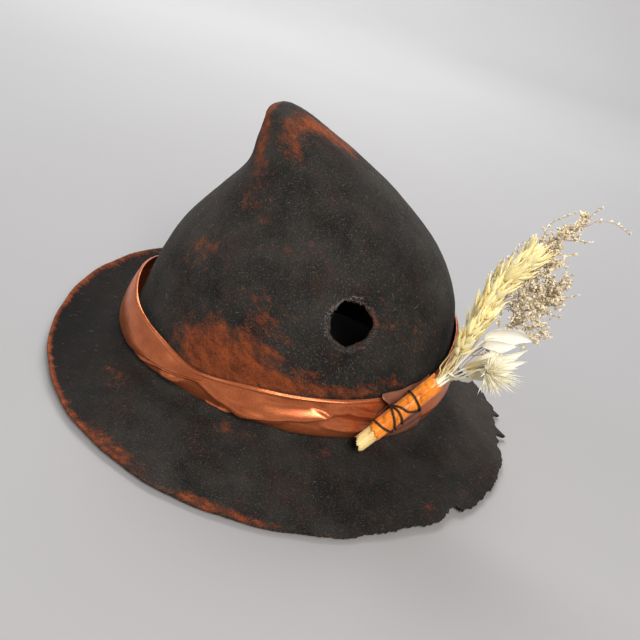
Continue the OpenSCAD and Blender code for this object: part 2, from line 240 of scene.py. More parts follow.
@dataclass
class Workpiece:
    """Vertices, faces and per-vertex values gathered for one piece, in millimetres."""

    name: str
    points: list[Array] = field(default_factory=list)
    faces: list[Array] = field(default_factory=list)
    values: dict[str, list[Array]] = field(default_factory=dict)
    count: int = 0

    def add(self, points: Array, *faces: Array, **values: Array | float) -> None:
        """Adds one lump.

        Args:
            points: Its vertices, shape (n, 3).
            faces: Arrays of faces that number the vertices from 0, any side count.
            values: Per-vertex values by attribute name.
        """
        flat = points.reshape(-1, 3)
        for key, value in values.items():
            self.values.setdefault(key, []).append(np.broadcast_to(value, (len(flat),)))
        self.faces += [f.reshape(-1, f.shape[-1]) + self.count for f in faces if len(f)]
        self.points.append(flat)
        self.count += len(flat)

    def add_rods(
        self,
        paths: Array,
        wide: Array | float,
        deep: Array | float,
        flat: Array,
        sides: int,
        tint: Array | float = 0.5,
    ) -> None:
        """Adds rods, as tubes() takes them, with a tint for each and its place along the rod.

        Args:
            paths: Centre lines, shape (rods, points, 3).
            wide: Half widths.
            deep: Half depths.
            flat: Direction of the width.
            sides: Sides of each cross section.
            tint: Tint of each rod.
        """
        rods, steps, _ = paths.shape
        lump, walls, ends = tubes(paths, np.asarray(wide), np.asarray(deep), flat, sides)
        tints = np.repeat(np.broadcast_to(tint, (rods,)), steps * sides)
        along = np.tile(np.repeat(np.linspace(0, 1, steps), sides), rods)
        self.add(lump, walls, ends, tint=tints, along=along)

    def build(self, material: bpy.types.Material, slot: Slot, *nodes: str) -> bpy.types.Object:
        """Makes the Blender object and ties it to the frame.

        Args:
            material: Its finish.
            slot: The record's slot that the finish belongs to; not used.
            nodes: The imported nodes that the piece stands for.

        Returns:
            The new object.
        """
        mesh = bpy.data.meshes.new(self.name)
        points = np.concatenate(self.points) * MM
        loops = np.concatenate([f.ravel() for f in self.faces])
        sizes = np.concatenate([np.full(len(f), f.shape[1]) for f in self.faces])
        mesh.vertices.add(len(points))
        mesh.vertices.foreach_set("co", points.ravel())
        mesh.loops.add(len(loops))
        mesh.loops.foreach_set("vertex_index", loops.astype(np.int32))
        mesh.polygons.add(len(sizes))
        starts = np.concatenate([[0], np.cumsum(sizes)[:-1]])
        mesh.polygons.foreach_set("loop_start", starts.astype(np.int32))
        mesh.polygons.foreach_set("use_smooth", np.ones(len(sizes), bool))
        mesh.update(calc_edges=True)
        mesh.validate()
        for key, parts in self.values.items():
            layer = mesh.attributes.new(key, "FLOAT", "POINT")
            layer.data.foreach_set("value", np.concatenate(parts).astype(np.float32))
        mesh.materials.append(material)
        made = bpy.data.objects.new(self.name, mesh)
        bpy.context.scene.collection.objects.link(made)
        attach(made, Body.HAT.value)
        if nodes:
            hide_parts(*nodes)
        return made


# ------------------------------------------------------------------ finishes


def linear(code: str) -> Colour:
    """Linear colour of an sRGB hex code.

    Args:
        code: A hash and six digits, such as "#b5613c".

    Returns:
        Red, green, blue and an alpha of 1.
    """
    parts = (int(code[k : k + 2], 16) / 255 for k in (1, 3, 5))
    r, g, b = (c / 12.92 if c <= 0.04045 else ((c + 0.055) / 1.055) ** 2.4 for c in parts)
    return r, g, b, 1.0


@dataclass
class Palette:
    """One material under construction: its node tree, its shader and its coordinates."""

    name: str
    shader_inputs: Mapping[str, object]

    def __post_init__(self) -> None:
        """Starts the material with its shader and its coordinates in metres."""
        self.material = bpy.data.materials.new(self.name)
        self.material.use_nodes = True
        self.tree = self.material.node_tree
        self.tree.nodes.clear()
        self.shader = self.add("BsdfPrincipled", self.shader_inputs)
        self.add("OutputMaterial", {"Surface": self.shader.outputs["BSDF"]})
        self.coords = self.add("TexCoord").outputs["Object"]

    def add(
        self, kind: str, inputs: Mapping[str | int, object] | None = None, **settings: object
    ) -> bpy.types.Node:
        """Adds one shader node.

        Args:
            kind: The node type's name after "ShaderNode".
            inputs: A value or another node's output for each input, by name or number.
            settings: The node's own settings.

        Returns:
            The new node.
        """
        made = self.tree.nodes.new("ShaderNode" + kind)
        for key, value in settings.items():
            setattr(made, key, value)
        for key, value in (inputs or {}).items():
            if isinstance(value, bpy.types.NodeSocket):
                self.tree.links.new(value, made.inputs[key])
            else:
                made.inputs[key].default_value = value
        return made

    def finish(self, colour: object, relief: object, height: float) -> bpy.types.Material:
        """Joins colour and relief to the shader.

        Args:
            colour: Base colour output.
            relief: Height output from 0 to 1.
            height: Depth of the relief in millimetres.

        Returns:
            The finished material.
        """
        self.tree.links.new(colour, self.shader.inputs["Base Color"])
        bumps = self.add("Bump", {"Height": relief, "Distance": height * MM, "Strength": 0.8})
        self.tree.links.new(bumps.outputs["Normal"], self.shader.inputs["Normal"])
        return self.material


def per_mm(size: float) -> float:
    """Texture scale whose patches are `size` millimetres across."""
    return 1 / (size * MM)


@dataclass(frozen=True)
class WoolFelt:
    """Blocked wool felt, dyed charcoal and singed.

    The fibres stand every way, so it is matt with a soft bright rim. The eye gets slow dark and
    light clouds, pale fibres, and rust-brown singes that break up into fine brush strokes.
    """

    dark: str = "#191918"
    light: str = "#302f2d"
    fibre: str = "#68625b"
    haze: str = "#40281f"
    # Near black that the `deep` value mixes in: painted shade, mostly where the crown's shadow falls on the
    # brim
    deep: str = "#0b0b0b"
    rust_deep: str = "#4a2416"
    rust_bright: str = "#934a27"

    def material(self) -> bpy.types.Material:
        """Makes the felt; its `rust` value says where it is singed and `deep` where painted shade darkens
        it.

        Returns:
            The finish.
        """
        p = Palette(
            "wool_felt_charcoal",
            {"Roughness": 0.95, "Sheen Weight": 0.10, "Sheen Roughness": 0.5, "IOR": 1.45,
             "Specular IOR Level": 0.12, "Sheen Tint": linear("#a9a4a0")},
        )
        cloud = p.add("TexNoise", {"Vector": p.coords, "Scale": per_mm(24), "Detail": 6.0,
                                   "Roughness": 0.62})
        cloud = p.add("MapRange", {"Value": cloud.outputs["Fac"], "From Min": 0.36, "From Max": 0.66})
        colour = p.add("Mix", {0: cloud.outputs["Result"], 6: linear(self.dark),
                               7: linear(self.light)}, data_type="RGBA")
        haze = p.add("TexNoise", {"Vector": p.coords, "Scale": per_mm(30), "Detail": 9.0,
                                  "Roughness": 0.7})
        haze = p.add("MapRange", {"Value": haze.outputs["Fac"], "From Min": 0.50, "From Max": 0.74,
                                  "To Max": 0.50})
        colour = p.add("Mix", {0: haze.outputs["Result"], 6: colour.outputs[2],
                               7: linear(self.haze)}, data_type="RGBA")
        # Fibre ends are about 0.03 mm thick; drawn as 0.6 mm streaks so that they show
        bent = p.add("Mapping", {"Vector": p.coords, "Rotation": (0.4, 0.9, 0.5),
                                 "Scale": (4.5, 1.0, 1.0)}, vector_type="TEXTURE")
        streak = p.add("TexNoise", {"Vector": bent.outputs["Vector"], "Scale": per_mm(0.6),
                                    "Detail": 3.0, "Roughness": 0.6})
        tuft = p.add("TexNoise", {"Vector": p.coords, "Scale": per_mm(1.0), "Detail": 5.0,
                                  "Roughness": 0.75})
        fibre = p.add("MapRange", {"Value": streak.outputs["Fac"], "From Min": 0.56,
                                   "From Max": 0.74, "To Max": 0.75})
        colour = p.add("Mix", {0: fibre.outputs["Result"], 6: colour.outputs[2],
                               7: linear(self.fibre)}, data_type="RGBA")
        # Painted shade: the `deep` value darkens the felt towards near black, mostly on the brim in the
        # crown's shadow
        deep = p.add("Attribute", attribute_name="deep")
        colour = p.add("Mix", {0: deep.outputs["Fac"], 6: colour.outputs[2],
                               7: linear(self.deep)}, data_type="RGBA")
        # A singe breaks up where its strength falls: brush strokes, then tufts and fibres
        brush = p.add("Mapping", {"Vector": p.coords, "Rotation": (0.0, 0.55, 0.0),
                                  "Scale": (2.6, 1.0, 1.0)}, vector_type="TEXTURE")
        patch = p.add("TexNoise", {"Vector": brush.outputs["Vector"], "Scale": per_mm(5),
                                   "Detail": 9.0, "Roughness": 0.72})
        rust = p.add("Attribute", attribute_name="rust")
        share = p.add("Math", {0: patch.outputs["Fac"], 1: 1.7, 2: rust.outputs["Fac"]},
                      operation="MULTIPLY_ADD")
        share = p.add("Math", {0: tuft.outputs["Fac"], 1: 0.45, 2: share.outputs[0]},
                      operation="MULTIPLY_ADD")
        share = p.add("Math", {0: streak.outputs["Fac"], 1: 0.45, 2: share.outputs[0]},
                      operation="MULTIPLY_ADD")
        singe = p.add("MapRange", {"Value": share.outputs[0], "From Min": 1.52, "From Max": 2.20,
                                   "To Max": 0.95})
        tone = p.add("Math", {0: patch.outputs["Fac"], 1: tuft.outputs["Fac"]})
        tone = p.add("MapRange", {"Value": tone.outputs[0], "From Min": 0.76, "From Max": 1.24})
        burnt = p.add("Mix", {0: tone.outputs["Result"], 6: linear(self.rust_deep),
                              7: linear(self.rust_bright)}, data_type="RGBA")
        colour = p.add("Mix", {0: singe.outputs["Result"], 6: colour.outputs[2],
                               7: burnt.outputs[2]}, data_type="RGBA")
        return p.finish(colour.outputs[2], tuft.outputs["Fac"], 0.55)


@dataclass(frozen=True)
class LintWool:
    """Loose wool and cotton hairs caught on the felt: dull and thin, each its own grey."""

    dark: str = "#35312e"
    light: str = "#a39c92"

    def material(self) -> bpy.types.Material:
        """Makes the hairs' material; `tint` runs from charcoal to cotton.

        Returns:
            The finish.
        """
        p = Palette("loose_wool_hair", {"Roughness": 0.9, "Sheen Weight": 0.3, "IOR": 1.5})
        tint = p.add("Attribute", attribute_name="tint")
        colour = p.add("Mix", {0: tint.outputs["Fac"], 6: linear(self.dark), 7: linear(self.light)},
                       data_type="RGBA")
        twist = p.add("TexNoise", {"Vector": p.coords, "Scale": per_mm(0.6)})
        return p.finish(colour.outputs[2], twist.outputs["Fac"], 0.02)


@dataclass(frozen=True)
class Satin:
    """Polyester satin: floating threads throw back a broad coloured gloss over deep folds.

    The eye gets bright copper ridges, dark hollows and a faint glitter of single threads.
    """

    name: str
    dark: str
    light: str
    roughness: float
    gloss: float

    def material(self) -> bpy.types.Material:
        """Makes the dyed thread; threads of 0.1 mm are drawn as 0.8 mm so that they show.

        Returns:
            The finish.
        """
        p = Palette(
            self.name,
            {"Roughness": self.roughness, "Metallic": self.gloss, "IOR": 1.55,
             "Sheen Weight": 0.1, "Sheen Roughness": 0.35, "Sheen Tint": linear(self.light)},
        )
        threads = p.add("TexNoise", {"Vector": p.coords, "Scale": per_mm(0.8), "Detail": 4.0,
                                     "Roughness": 0.75})
        dye = p.add("TexNoise", {"Vector": p.coords, "Scale": per_mm(14), "Detail": 4.0})
        share = p.add("Math", {0: threads.outputs["Fac"], 1: 0.9, 2: -0.2},
                      operation="MULTIPLY_ADD")
        share = p.add("Math", {0: dye.outputs["Fac"], 1: 0.6, 2: share.outputs[0]},
                      operation="MULTIPLY_ADD")
        colour = p.add("Mix", {0: share.outputs[0], 6: linear(self.dark), 7: linear(self.light)},
                       data_type="RGBA")
        return p.finish(colour.outputs[2], threads.outputs["Fac"], 0.07)


@dataclass(frozen=True)
class Grosgrain:
    """Ribbed cotton hat ribbon: dull, with cross ribs whose tops are drawn lighter."""

    dark: str = "#1c1614"
    light: str = "#3c2c25"

    def material(self) -> bpy.types.Material:
        """Makes the ribbon; the ribs come from the mesh's `tint`.

        Returns:
            The finish.
        """
        p = Palette("cotton_grosgrain", {"Roughness": 0.8, "IOR": 1.5, "Sheen Weight": 0.2})
        ribs = p.add("Attribute", attribute_name="tint")
        weave = p.add("TexNoise", {"Vector": p.coords, "Scale": per_mm(0.5), "Detail": 3.0})
        share = p.add("Math", {0: weave.outputs["Fac"], 1: 0.3, 2: ribs.outputs["Fac"]},
                      operation="MULTIPLY_ADD")
        colour = p.add("Mix", {0: share.outputs[0], 6: linear(self.dark), 7: linear(self.light)},
                       data_type="RGBA")
        return p.finish(colour.outputs[2], weave.outputs["Fac"], 0.1)


@dataclass(frozen=True)
class DriedPlant:
    """Dried plant matter: thin dry fibre, dull to silky, streaked along its length.

    The eye gets a different tint on each leaf, husk or cup, and a foot of its own colour.
    """

    name: str
    dark: str
    light: str
    foot: str
    foot_reach: float
    roughness: float
    streak: float = 0.6
    relief: float = 0.08
    glow: float = 0.0

    def material(self) -> bpy.types.Material:
        """Mixes dark and light by part and streak, then stains the foot.

        Returns:
            The finish.
        """
        p = Palette(
            self.name,
            {"Roughness": self.roughness, "IOR": 1.45, "Sheen Weight": 0.15,
             "Specular IOR Level": 0.4, "Subsurface Weight": self.glow,
             "Subsurface Scale": 0.002, "Subsurface Radius": (1.0, 0.9, 0.75)},
        )
        grain = p.add("TexNoise", {"Vector": p.coords, "Scale": per_mm(self.streak),
                                   "Detail": 4.0, "Roughness": 0.6})
        tint = p.add("Attribute", attribute_name="tint")
        share = p.add("Math", {0: grain.outputs["Fac"], 1: 0.8, 2: tint.outputs["Fac"]},
                      operation="MULTIPLY_ADD")
        share = p.add("MapRange", {"Value": share.outputs[0], "From Min": 0.25, "From Max": 1.1})
        colour = p.add("Mix", {0: share.outputs["Result"], 6: linear(self.dark),
                               7: linear(self.light)}, data_type="RGBA")
        along = p.add("Attribute", attribute_name="along")
        stain = p.add("Math", {0: grain.outputs["Fac"], 1: 0.25, 2: along.outputs["Fac"]},
                      operation="MULTIPLY_ADD")
        stain = p.add("MapRange", {"Value": stain.outputs[0], "From Min": 0.05,
                                   "From Max": self.foot_reach})
        colour = p.add("Mix", {0: stain.outputs["Result"], 6: linear(self.foot),
                               7: colour.outputs[2]}, data_type="RGBA")
        return p.finish(colour.outputs[2], grain.outputs["Fac"], self.relief)


@dataclass(frozen=True)
class WaxedCord:
    """Waxed cotton cord: near black, with a faint gloss that picks out its twist."""

    dark: str = "#1c0f0b"
    light: str = "#3d2219"

    def material(self) -> bpy.types.Material:
        """Makes the cord; twist marks are drawn 0.6 mm apart.

        Returns:
            The finish.
        """
        p = Palette("waxed_cotton_cord", {"Roughness": 0.55, "IOR": 1.45})
        twist = p.add("TexNoise", {"Vector": p.coords, "Scale": per_mm(0.6), "Detail": 3.0})
        share = p.add("MapRange", {"Value": twist.outputs["Fac"], "From Min": 0.35,
                                   "From Max": 0.7})
        colour = p.add("Mix", {0: share.outputs["Result"], 6: linear(self.dark),
                               7: linear(self.light)}, data_type="RGBA")
        return p.finish(colour.outputs[2], twist.outputs["Fac"], 0.15)


@dataclass(frozen=True)
class PaperSweep:
    """Seamless studio paper: matt pale grey with very faint clouds."""

    dark: str = "#949496"
    light: str = "#9c9c9e"

    def material(self) -> bpy.types.Material:
        """Makes the paper, with a fine tooth.

        Returns:
            The finish.
        """
        p = Palette("studio_paper", {"Roughness": 0.9, "IOR": 1.4, "Specular IOR Level": 0.1})
        cloud = p.add("TexNoise", {"Vector": p.coords, "Scale": per_mm(500)})
        colour = p.add("Mix", {0: cloud.outputs["Fac"], 6: linear(self.dark),
                               7: linear(self.light)}, data_type="RGBA")
        tooth = p.add("TexNoise", {"Vector": p.coords, "Scale": per_mm(3)})
        return p.finish(colour.outputs[2], tooth.outputs["Fac"], 0.02)


# ------------------------------------------------------------------ the hat's form


@dataclass
class HatForm:
    """The outer face of crown and brim as functions of height and angle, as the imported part."""

    base_a: float = 103.0
    base_b: float = 86.0
    crown_height: float = 158.0
    tip_lean: float = 39.0
    brim_side: float = 61.0
    brim_end: float = 50.0
    brim_drop: float = 17.0
    brim_lift: float = 20.0
    stations: tuple[tuple[float, float, float, float], ...] = (
        (0.00, 0.00, 1.00, 1.00),
        (0.06, 0.00, 1.00, 1.02),
        (0.16, 0.00, 0.97, 1.03),
        (0.30, -0.04, 0.93, 1.00),
        (0.46, -0.07, 0.85, 0.92),
        (0.62, -0.05, 0.68, 0.745),
        (0.755, 0.13, 0.48, 0.55),
        (0.86, 0.47, 0.33, 0.37),
        (0.93, 0.74, 0.215, 0.24),
        (0.975, 0.92, 0.14, 0.15),
        (1.00, 1.00, 0.04, 0.04),
    )

    def crown(self, t: Array, angle: Array) -> Array:
        """Places on the crown's outer face.

        Args:
            t: Stations, 0 at the opening and 10 at the tip.
            angle: Angles in degrees.

        Returns:
            Places, shape (..., 3).
        """
        s = catmull(np.array(self.stations), t)
        a = np.radians(angle)
        x = -self.tip_lean * s[..., 1] + self.base_a * s[..., 2] * np.cos(a)
        return np.stack([x, self.base_b * s[..., 3] * np.sin(a), self.crown_height * s[..., 0]], -1)

    def station(self, z: Array) -> Array:
        """Station at which the crown reaches a height."""
        heights = [row[0] * self.crown_height for row in self.stations]
        return np.interp(z, heights, np.arange(len(heights)))

    def brim_width(self, angle: Array) -> Array:
        """Width of the brim before it was torn.

        Args:
            angle: Angles round the hat in degrees.

        Returns:
            Width at each angle.
        """
        a = np.radians(angle)
        wide = mix(self.brim_end, self.brim_side, np.sin(a) ** 2) + 2 * np.cos(a)
        return wide - 2.5 * bump(angle, 302, 22)

    def brim(self, s: Array, angle: Array, width: Array | None = None) -> Array:
        """Places on the brim's upper face.

        Args:
            s: Share of the width, 0 at the crown and 1 at the edge.
            angle: Angles in degrees.
            width: Width of the brim; the whole brim's unless told otherwise.

        Returns:
            Places, shape (..., 3).
        """
        a = np.radians(angle)
        normal = unit(np.stack([self.base_b * np.cos(a), self.base_a * np.sin(a)], -1))
        reach = (self.brim_width(angle) if width is None else width) * s
        edge_z = -self.brim_drop + self.brim_lift * bump(angle, 145, 45)
        edge_z = edge_z - 1.5 * bump(angle, 270, 40)
        trough = 7 * np.sin(math.pi * np.clip(s, 0, 1)) * bump(angle, 155, 60)
        x = self.base_a * np.cos(a) + normal[..., 0] * reach
        y = self.base_b * np.sin(a) + normal[..., 1] * reach
        return np.stack([x, y, edge_z * np.maximum(s, 0) ** 1.3 - trough], -1)

    def on_crown(self, z: Array, angle: Array, off: Array | float) -> Array:
        """Places on or off the crown.

        Args:
            z: Heights above the opening.
            angle: Angles in degrees.
            off: Distance out from the crown.

        Returns:
            Places, shape (..., 3).
        """
        z, angle = np.broadcast_arrays(z, angle)
        t = self.station(z)
        up = self.crown(t + 0.1, angle) - self.crown(np.maximum(t - 0.1, 0), angle)
        around = self.crown(t, angle + 1) - self.crown(t, angle - 1)
        out = unit(np.cross(around, up))
        return self.crown(t, angle) + out * np.asarray(off)[..., None]


@dataclass(frozen=True)
class Scorch:
    """A rust-coloured singe: its centre and half sizes as (angle, height) or (angle, share)."""

    angle: float
    place: float
    wide: float
    tall: float
    strength: float = 1.0

    def share(self, angle: Array, place: Array) -> Array:
        """How strongly the singe shows at each place."""
        r = (turn(angle, self.angle) / self.wide) ** 2 + ((place - self.place) / self.tall) ** 2
        return self.strength * np.exp(-(r**1.3))


@dataclass
class FeltBody:
    """The felt: crown and brim in one, with the burnt hole, the torn edge and its scorches."""

    form: HatForm
    finish: WoolFelt = field(default_factory=WoolFelt)
    thick: float = 3.0
    hole_angle: float = -71.0
    hole_height: float = 71.5
    hole_r: float = 13.3
    slit_angle: float = -33.5
    # Half rows and half columns of the grid block that becomes the hole, and how many times that
    # size the drawn-in block is
    hole_rows: int = 7
    hole_columns: int = 19
    draw_in: float = 1.8
    # Times that the rows at the crown's foot and at the tip are smoothed
    foot_passes: int = 5
    tip_passes: int = 12
    # Reach of the torn edge from the crown's foot, as (angle, millimetres)
    torn_edge: tuple[tuple[float, float], ...] = (
        (-76, 62.0), (-66, 58.6), (-60, 56.8), (-53, 54.6), (-48, 55.4), (-44, 54.8),
        (-42.5, 54.6), (-41, 52.8), (-39, 51.8), (-37, 50.6), (-35.5, 51.4), (-34.5, 54.2),
        (-31, 55.2), (-29, 54.6), (-26.5, 55.0), (-24, 54.0), (-19, 53.6), (-16, 54.2),
        (-13, 52.8), (-10, 53.0), (-7, 52.0), (-5, 51.2), (-4, 48.2), (-2.5, 48.6), (-1, 50.2),
        (0, 47.2), (1.5, 47.6), (2.6, 49.0), (3.6, 55.5), (4.1, 57.0), (4.7, 49.2), (6, 48.4),
        (7.5, 50.0), (9, 49.0), (11, 50.5), (12.6, 53.5), (13.6, 58.6), (14.3, 56.0),
        (15, 54.4), (17, 57.2), (19, 55.0), (21, 56.2), (23, 57.0), (25, 55.4), (28, 55.2),
        (31, 55.6), (34, 53.4),
    )
    crown_scorches: tuple[Scorch, ...] = (
        # The strong patch over the band, its ragged top and the strip that runs on to the bundle
        Scorch(-108, 31, 15, 13, 0.62), Scorch(-98, 33, 12, 10, 0.52), Scorch(-118, 38, 10, 9, 0.50),
        Scorch(-106, 46, 9, 8, 0.40), Scorch(-117, 50, 5, 6, 0.40), Scorch(-122, 27, 8, 9, 0.42),
        Scorch(-112, 22, 11, 6, 0.40),
        Scorch(-88, 31, 12, 6, 0.60), Scorch(-76, 31, 12, 5, 0.50), Scorch(-64, 34, 10, 4, 0.46),
        Scorch(-52, 39, 10, 5, 0.40), Scorch(-80, 41, 7, 3, 0.34), Scorch(-96, 47, 8, 3, 0.30),
        # Faint brushed places higher up
        Scorch(-107, 69, 6, 9, 0.24), Scorch(-99, 58, 7, 9, 0.22), Scorch(-140, 74, 15, 24, 0.20),
        Scorch(-138, 78, 8, 8, 0.16), Scorch(-92, 60, 18, 16, 0.14), Scorch(-52, 76, 16, 12, 0.14),
        Scorch(-92, 96, 24, 7, 0.16), Scorch(-130, 108, 16, 7, 0.22), Scorch(-40, 66, 10, 10, 0.20),
        # The tip: a strip down its left, a band over its right and a spot between them
        Scorch(-150, 137, 15, 12, 0.72), Scorch(-157, 149, 17, 7, 0.66), Scorch(-62, 152.6, 30, 3.2, 0.78),
        Scorch(-24, 151, 26, 5.5, 0.74), Scorch(-95, 148.5, 16, 3.2, 0.52), Scorch(-96, 141, 7, 3.6, 0.56),
        Scorch(0, 145, 24, 6, 0.62), Scorch(-140, 124, 14, 8, 0.30), Scorch(-112, 142, 30, 9, 0.28),
        Scorch(-170, 156, 40, 2.0, 0.50),
        # The unseen left side and back
        Scorch(60, 148, 40, 8, 0.45), Scorch(120, 142, 30, 10, 0.45), Scorch(86, 50, 22, 12, 0.52),
        Scorch(68, 46, 12, 14, 0.45), Scorch(130, 95, 16, 9, 0.30), Scorch(176, 52, 14, 11, 0.48),
        Scorch(20, 100, 12, 8, 0.26), Scorch(158, 118, 14, 6, 0.32), Scorch(110, 40, 14, 8, 0.40),
    )
    brim_scorches: tuple[Scorch, ...] = (
        Scorch(-170, 0.99, 26, 0.05, 0.50), Scorch(-140, 0.99, 22, 0.05, 0.46),
        Scorch(-119, 0.93, 8, 0.08, 0.52), Scorch(-96, 0.95, 8, 0.05, 0.54),
        Scorch(-86, 0.97, 10, 0.03, 0.36), Scorch(-98, 0.17, 5, 0.09, 0.36),
        Scorch(-139, 0.40, 6, 0.12, 0.26), Scorch(-70, 0.2, 6, 0.08, 0.16),
        Scorch(-49, 0.86, 10, 0.08, 0.18), Scorch(-30, 0.8, 8, 0.1, 0.12),
        Scorch(160, 0.97, 24, 0.06, 0.48), Scorch(110, 0.96, 16, 0.07, 0.46),
        Scorch(70, 0.9, 12, 0.12, 0.46), Scorch(96, 0.45, 12, 0.16, 0.42),
        Scorch(46, 0.97, 14, 0.05, 0.40), Scorch(150, 0.5, 12, 0.14, 0.3),
    )

    def angles(self) -> Array:
        """Columns of the grid, closer together where the felt is torn and holed.

        Returns:
            Angles in degrees.
        """
        return np.concatenate(
            [np.arange(-180, -92.05, 1.1), np.arange(-92, 36.01, 0.5), np.arange(37, 179.6, 1.1)]
        )

    def levels(self) -> tuple[Array, int]:
        """Rows of the grid, below 0 on the brim and stations on the crown.

        Returns:
            The rows, and the number of the hole's row.
        """
        brim = -(1 - np.linspace(0, 1, 33)[:-1] ** 1.25)
        crown = np.concatenate(
            [np.linspace(0, 2.6, 14)[:-1], np.linspace(2.6, 4.8, 33)[:-1], np.linspace(4.8, 10, 29)]
        )
        levels = np.concatenate([brim, crown])
        centre = self.form.station(np.array(self.hole_height))
        return levels, int(np.argmin(np.abs(levels - centre)))

    def width(self, angle: Array) -> Array:
        """Width of the brim with the tears in its edge.

        Args:
            angle: Angles round the hat in degrees.

        Returns:
            Width at each angle.
        """
        sound = self.form.brim_width(angle)
        rng = np.random.default_rng(5)
        frayed = 0.35 * rng.normal(size=len(angle)) + 0.5 * np.sin(np.radians(angle * 31))
        knots = np.array(self.torn_edge)
        torn = np.interp(angle, knots[:, 0], knots[:, 1]) + frayed
        wear = 0.5 * np.sin(np.radians(angle * 13 + 40)) + 0.35 * np.sin(np.radians(angle * 29))
        share = ease(angle, -76, -68) * (1 - ease(angle, 30, 35))
        return mix(sound + 0.6 * wear, torn, share)

    def warp(self, level: Array, angle: Array, middle: tuple[int, int]) -> tuple[Array, Array, Array]:
        """Draws a block of the grid round the hole into its ragged circle.

        Args:
            level: Row parameters of the grid.
            angle: Column angles of the grid.
            middle: Row and column of the hole's centre.

        Returns:
            The new levels and angles, and True for each cell that the hole removes.
        """
        high, wide = self.hole_rows, self.hole_columns
        rows, columns = level.shape
        row, col = np.mgrid[0:rows, 0:columns]
        up = (row - middle[0]) / high
        side = (col - middle[1]) / wide
        q = np.maximum(np.abs(up), np.abs(side))
        r = np.maximum(np.hypot(up, side), 1e-6)
        true_level = float(self.form.station(np.array(self.hole_height)))
        at = self.form.crown(np.array(true_level), np.array(self.hole_angle))
        per_level = np.linalg.norm(
            self.form.crown(np.array(true_level + 0.1), np.array(self.hole_angle)) - at
        ) / 0.1
        per_angle = np.linalg.norm(
            self.form.crown(np.array(true_level), np.array(self.hole_angle + 1)) - at
        )
        a = np.arctan2(up, side)
        ragged = 1 + 0.05 * np.sin(3 * a + 0.7) + 0.03 * np.sin(7 * a) + 0.012 * np.sin(19 * a)
        ragged = ragged + 0.01 * np.sin(31 * a + 1)
        m = np.where(q <= 1, self.hole_r * q, self.hole_r * (1 + (q - 1) * 0.95)) * ragged
        share = np.clip((self.draw_in - q) / (self.draw_in - 1), 0, 1)
        new_level = mix(level, true_level + m * up / r / per_level, share)
        new_angle = mix(angle, self.hole_angle + m * side / r / per_angle, share)
        cell_q = np.maximum(np.abs(up[:-1] + 0.5 / high), np.abs(side[:-1] + 0.5 / wide))
        return new_level, new_angle, cell_q < 1

    def painted_shade_share(self, level: Array, angle: Array) -> Array:
        """Share of painted shade at every vertex: dark on the brim at the back, where the crown's shadow
        falls, less so at the front right and the left side, and a faint darker strip up the crown's right
        front.
        """
        brim = 0.92 * bump(angle, -168, 44) + 0.48 * bump(angle, -35, 42) + 0.4 * bump(angle, 90, 60)
        return np.where(level > 0, 0.32 * bump(angle, -42, 24), brim * ease(-level, 0.02, 0.25))

    def rust(self, level: Array, angle: Array, places: Array) -> Array:
        """Scorch strength at every vertex of the outer face.

        Args:
            level: Row parameter of each vertex.
            angle: Angle of each vertex.
            places: Place of each vertex.

        Returns:
            Strengths, 0 where the felt isn't singed.
        """
        crown = sum(s.share(angle, places[..., 2]) for s in self.crown_scorches)
        brim = sum(s.share(angle, -level) for s in self.brim_scorches)
        worn = 0.22 * ease(-level, 0.955, 1.0) * (1 - 0.7 * bump(angle, -30, 70))
        return np.where(level > 0, crown * ease(places[..., 2], 2, 14), brim + worn)

    def build(self) -> tuple[bpy.types.Object, Array, Array]:
        """Makes the felt.

        Returns:
            The piece, and the places and outward directions of its outer face.
        """
        angles = self.angles()
        levels, hole_row = self.levels()
        hole_col = int(np.argmin(np.abs(angles - self.hole_angle)))
        angle = np.broadcast_to(angles, (len(levels), len(angles)))
        level = np.broadcast_to(levels[:, None], angle.shape)
        level, angle, gone = self.warp(level, angle, (hole_row, hole_col))
        s = np.clip(-level, 0, 1)
        sound = self.form.brim_width(angle)
        torn = mix(sound, np.broadcast_to(self.width(angles), s.shape), ease(s, 0.72, 1.0))
        slit = 2.2 * ease(s, 0.80, 0.93) * np.tanh(turn(angle, self.slit_angle) / 0.22)
        slit = slit * np.exp(-np.abs(turn(angle, self.slit_angle)) / 3.0)
        brim = self.form.brim(s, angle + slit * (level < 0) * 0.35, torn)
        # Keeps the height of a torn place where the whole brim would have it
        brim[..., 2] = self.form.brim(s * torn / sound, angle)[..., 2]
        places = np.where((level <= 0)[..., None], brim, self.form.crown(np.maximum(level, 0), angle))
        foot = int(np.argmin(np.abs(levels)))
        for _ in range(self.foot_passes):
            near = places[foot - 2 : foot + 3]
            away = places[foot - 3 : foot + 2] + places[foot - 1 : foot + 4]
            places[foot - 2 : foot + 3] = 0.5 * near + 0.25 * away
        for _ in range(self.tip_passes):
            places[-9:-1] = 0.5 * places[-9:-1] + 0.25 * (places[-10:-2] + places[-8:])
        out = self.directions(places)
        places = places + out * (
            0.28 * Waves(52, 3).at(places) + 0.07 * Waves(15, 8).at(places)
            + 0.03 * Waves(3.2, 12).at(places)
        )[..., None]
        out = self.directions(places)
        edge = ease(s, 0.95, 1.0)
        thick = self.thick * (1 - 0.3 * edge) + 0.15 * Waves(9, 21).at(places)
        inner = places - out * thick[..., None]
        rust = self.rust(level, angle, places)
        # Painted shade: `dye` holds the share of shadow painted on the brim, not a real dye
        dye = self.painted_shade_share(level, angle)
        rim = np.abs(level - level[hole_row, hole_col]) < 1.0
        gap = np.linalg.norm(places - self.hole_centre(), axis=-1)
        rust = rust + 0.36 * rim * np.exp(-(((gap - self.hole_r) / 2.6) ** 2)) * ease(angle, -72, -62)

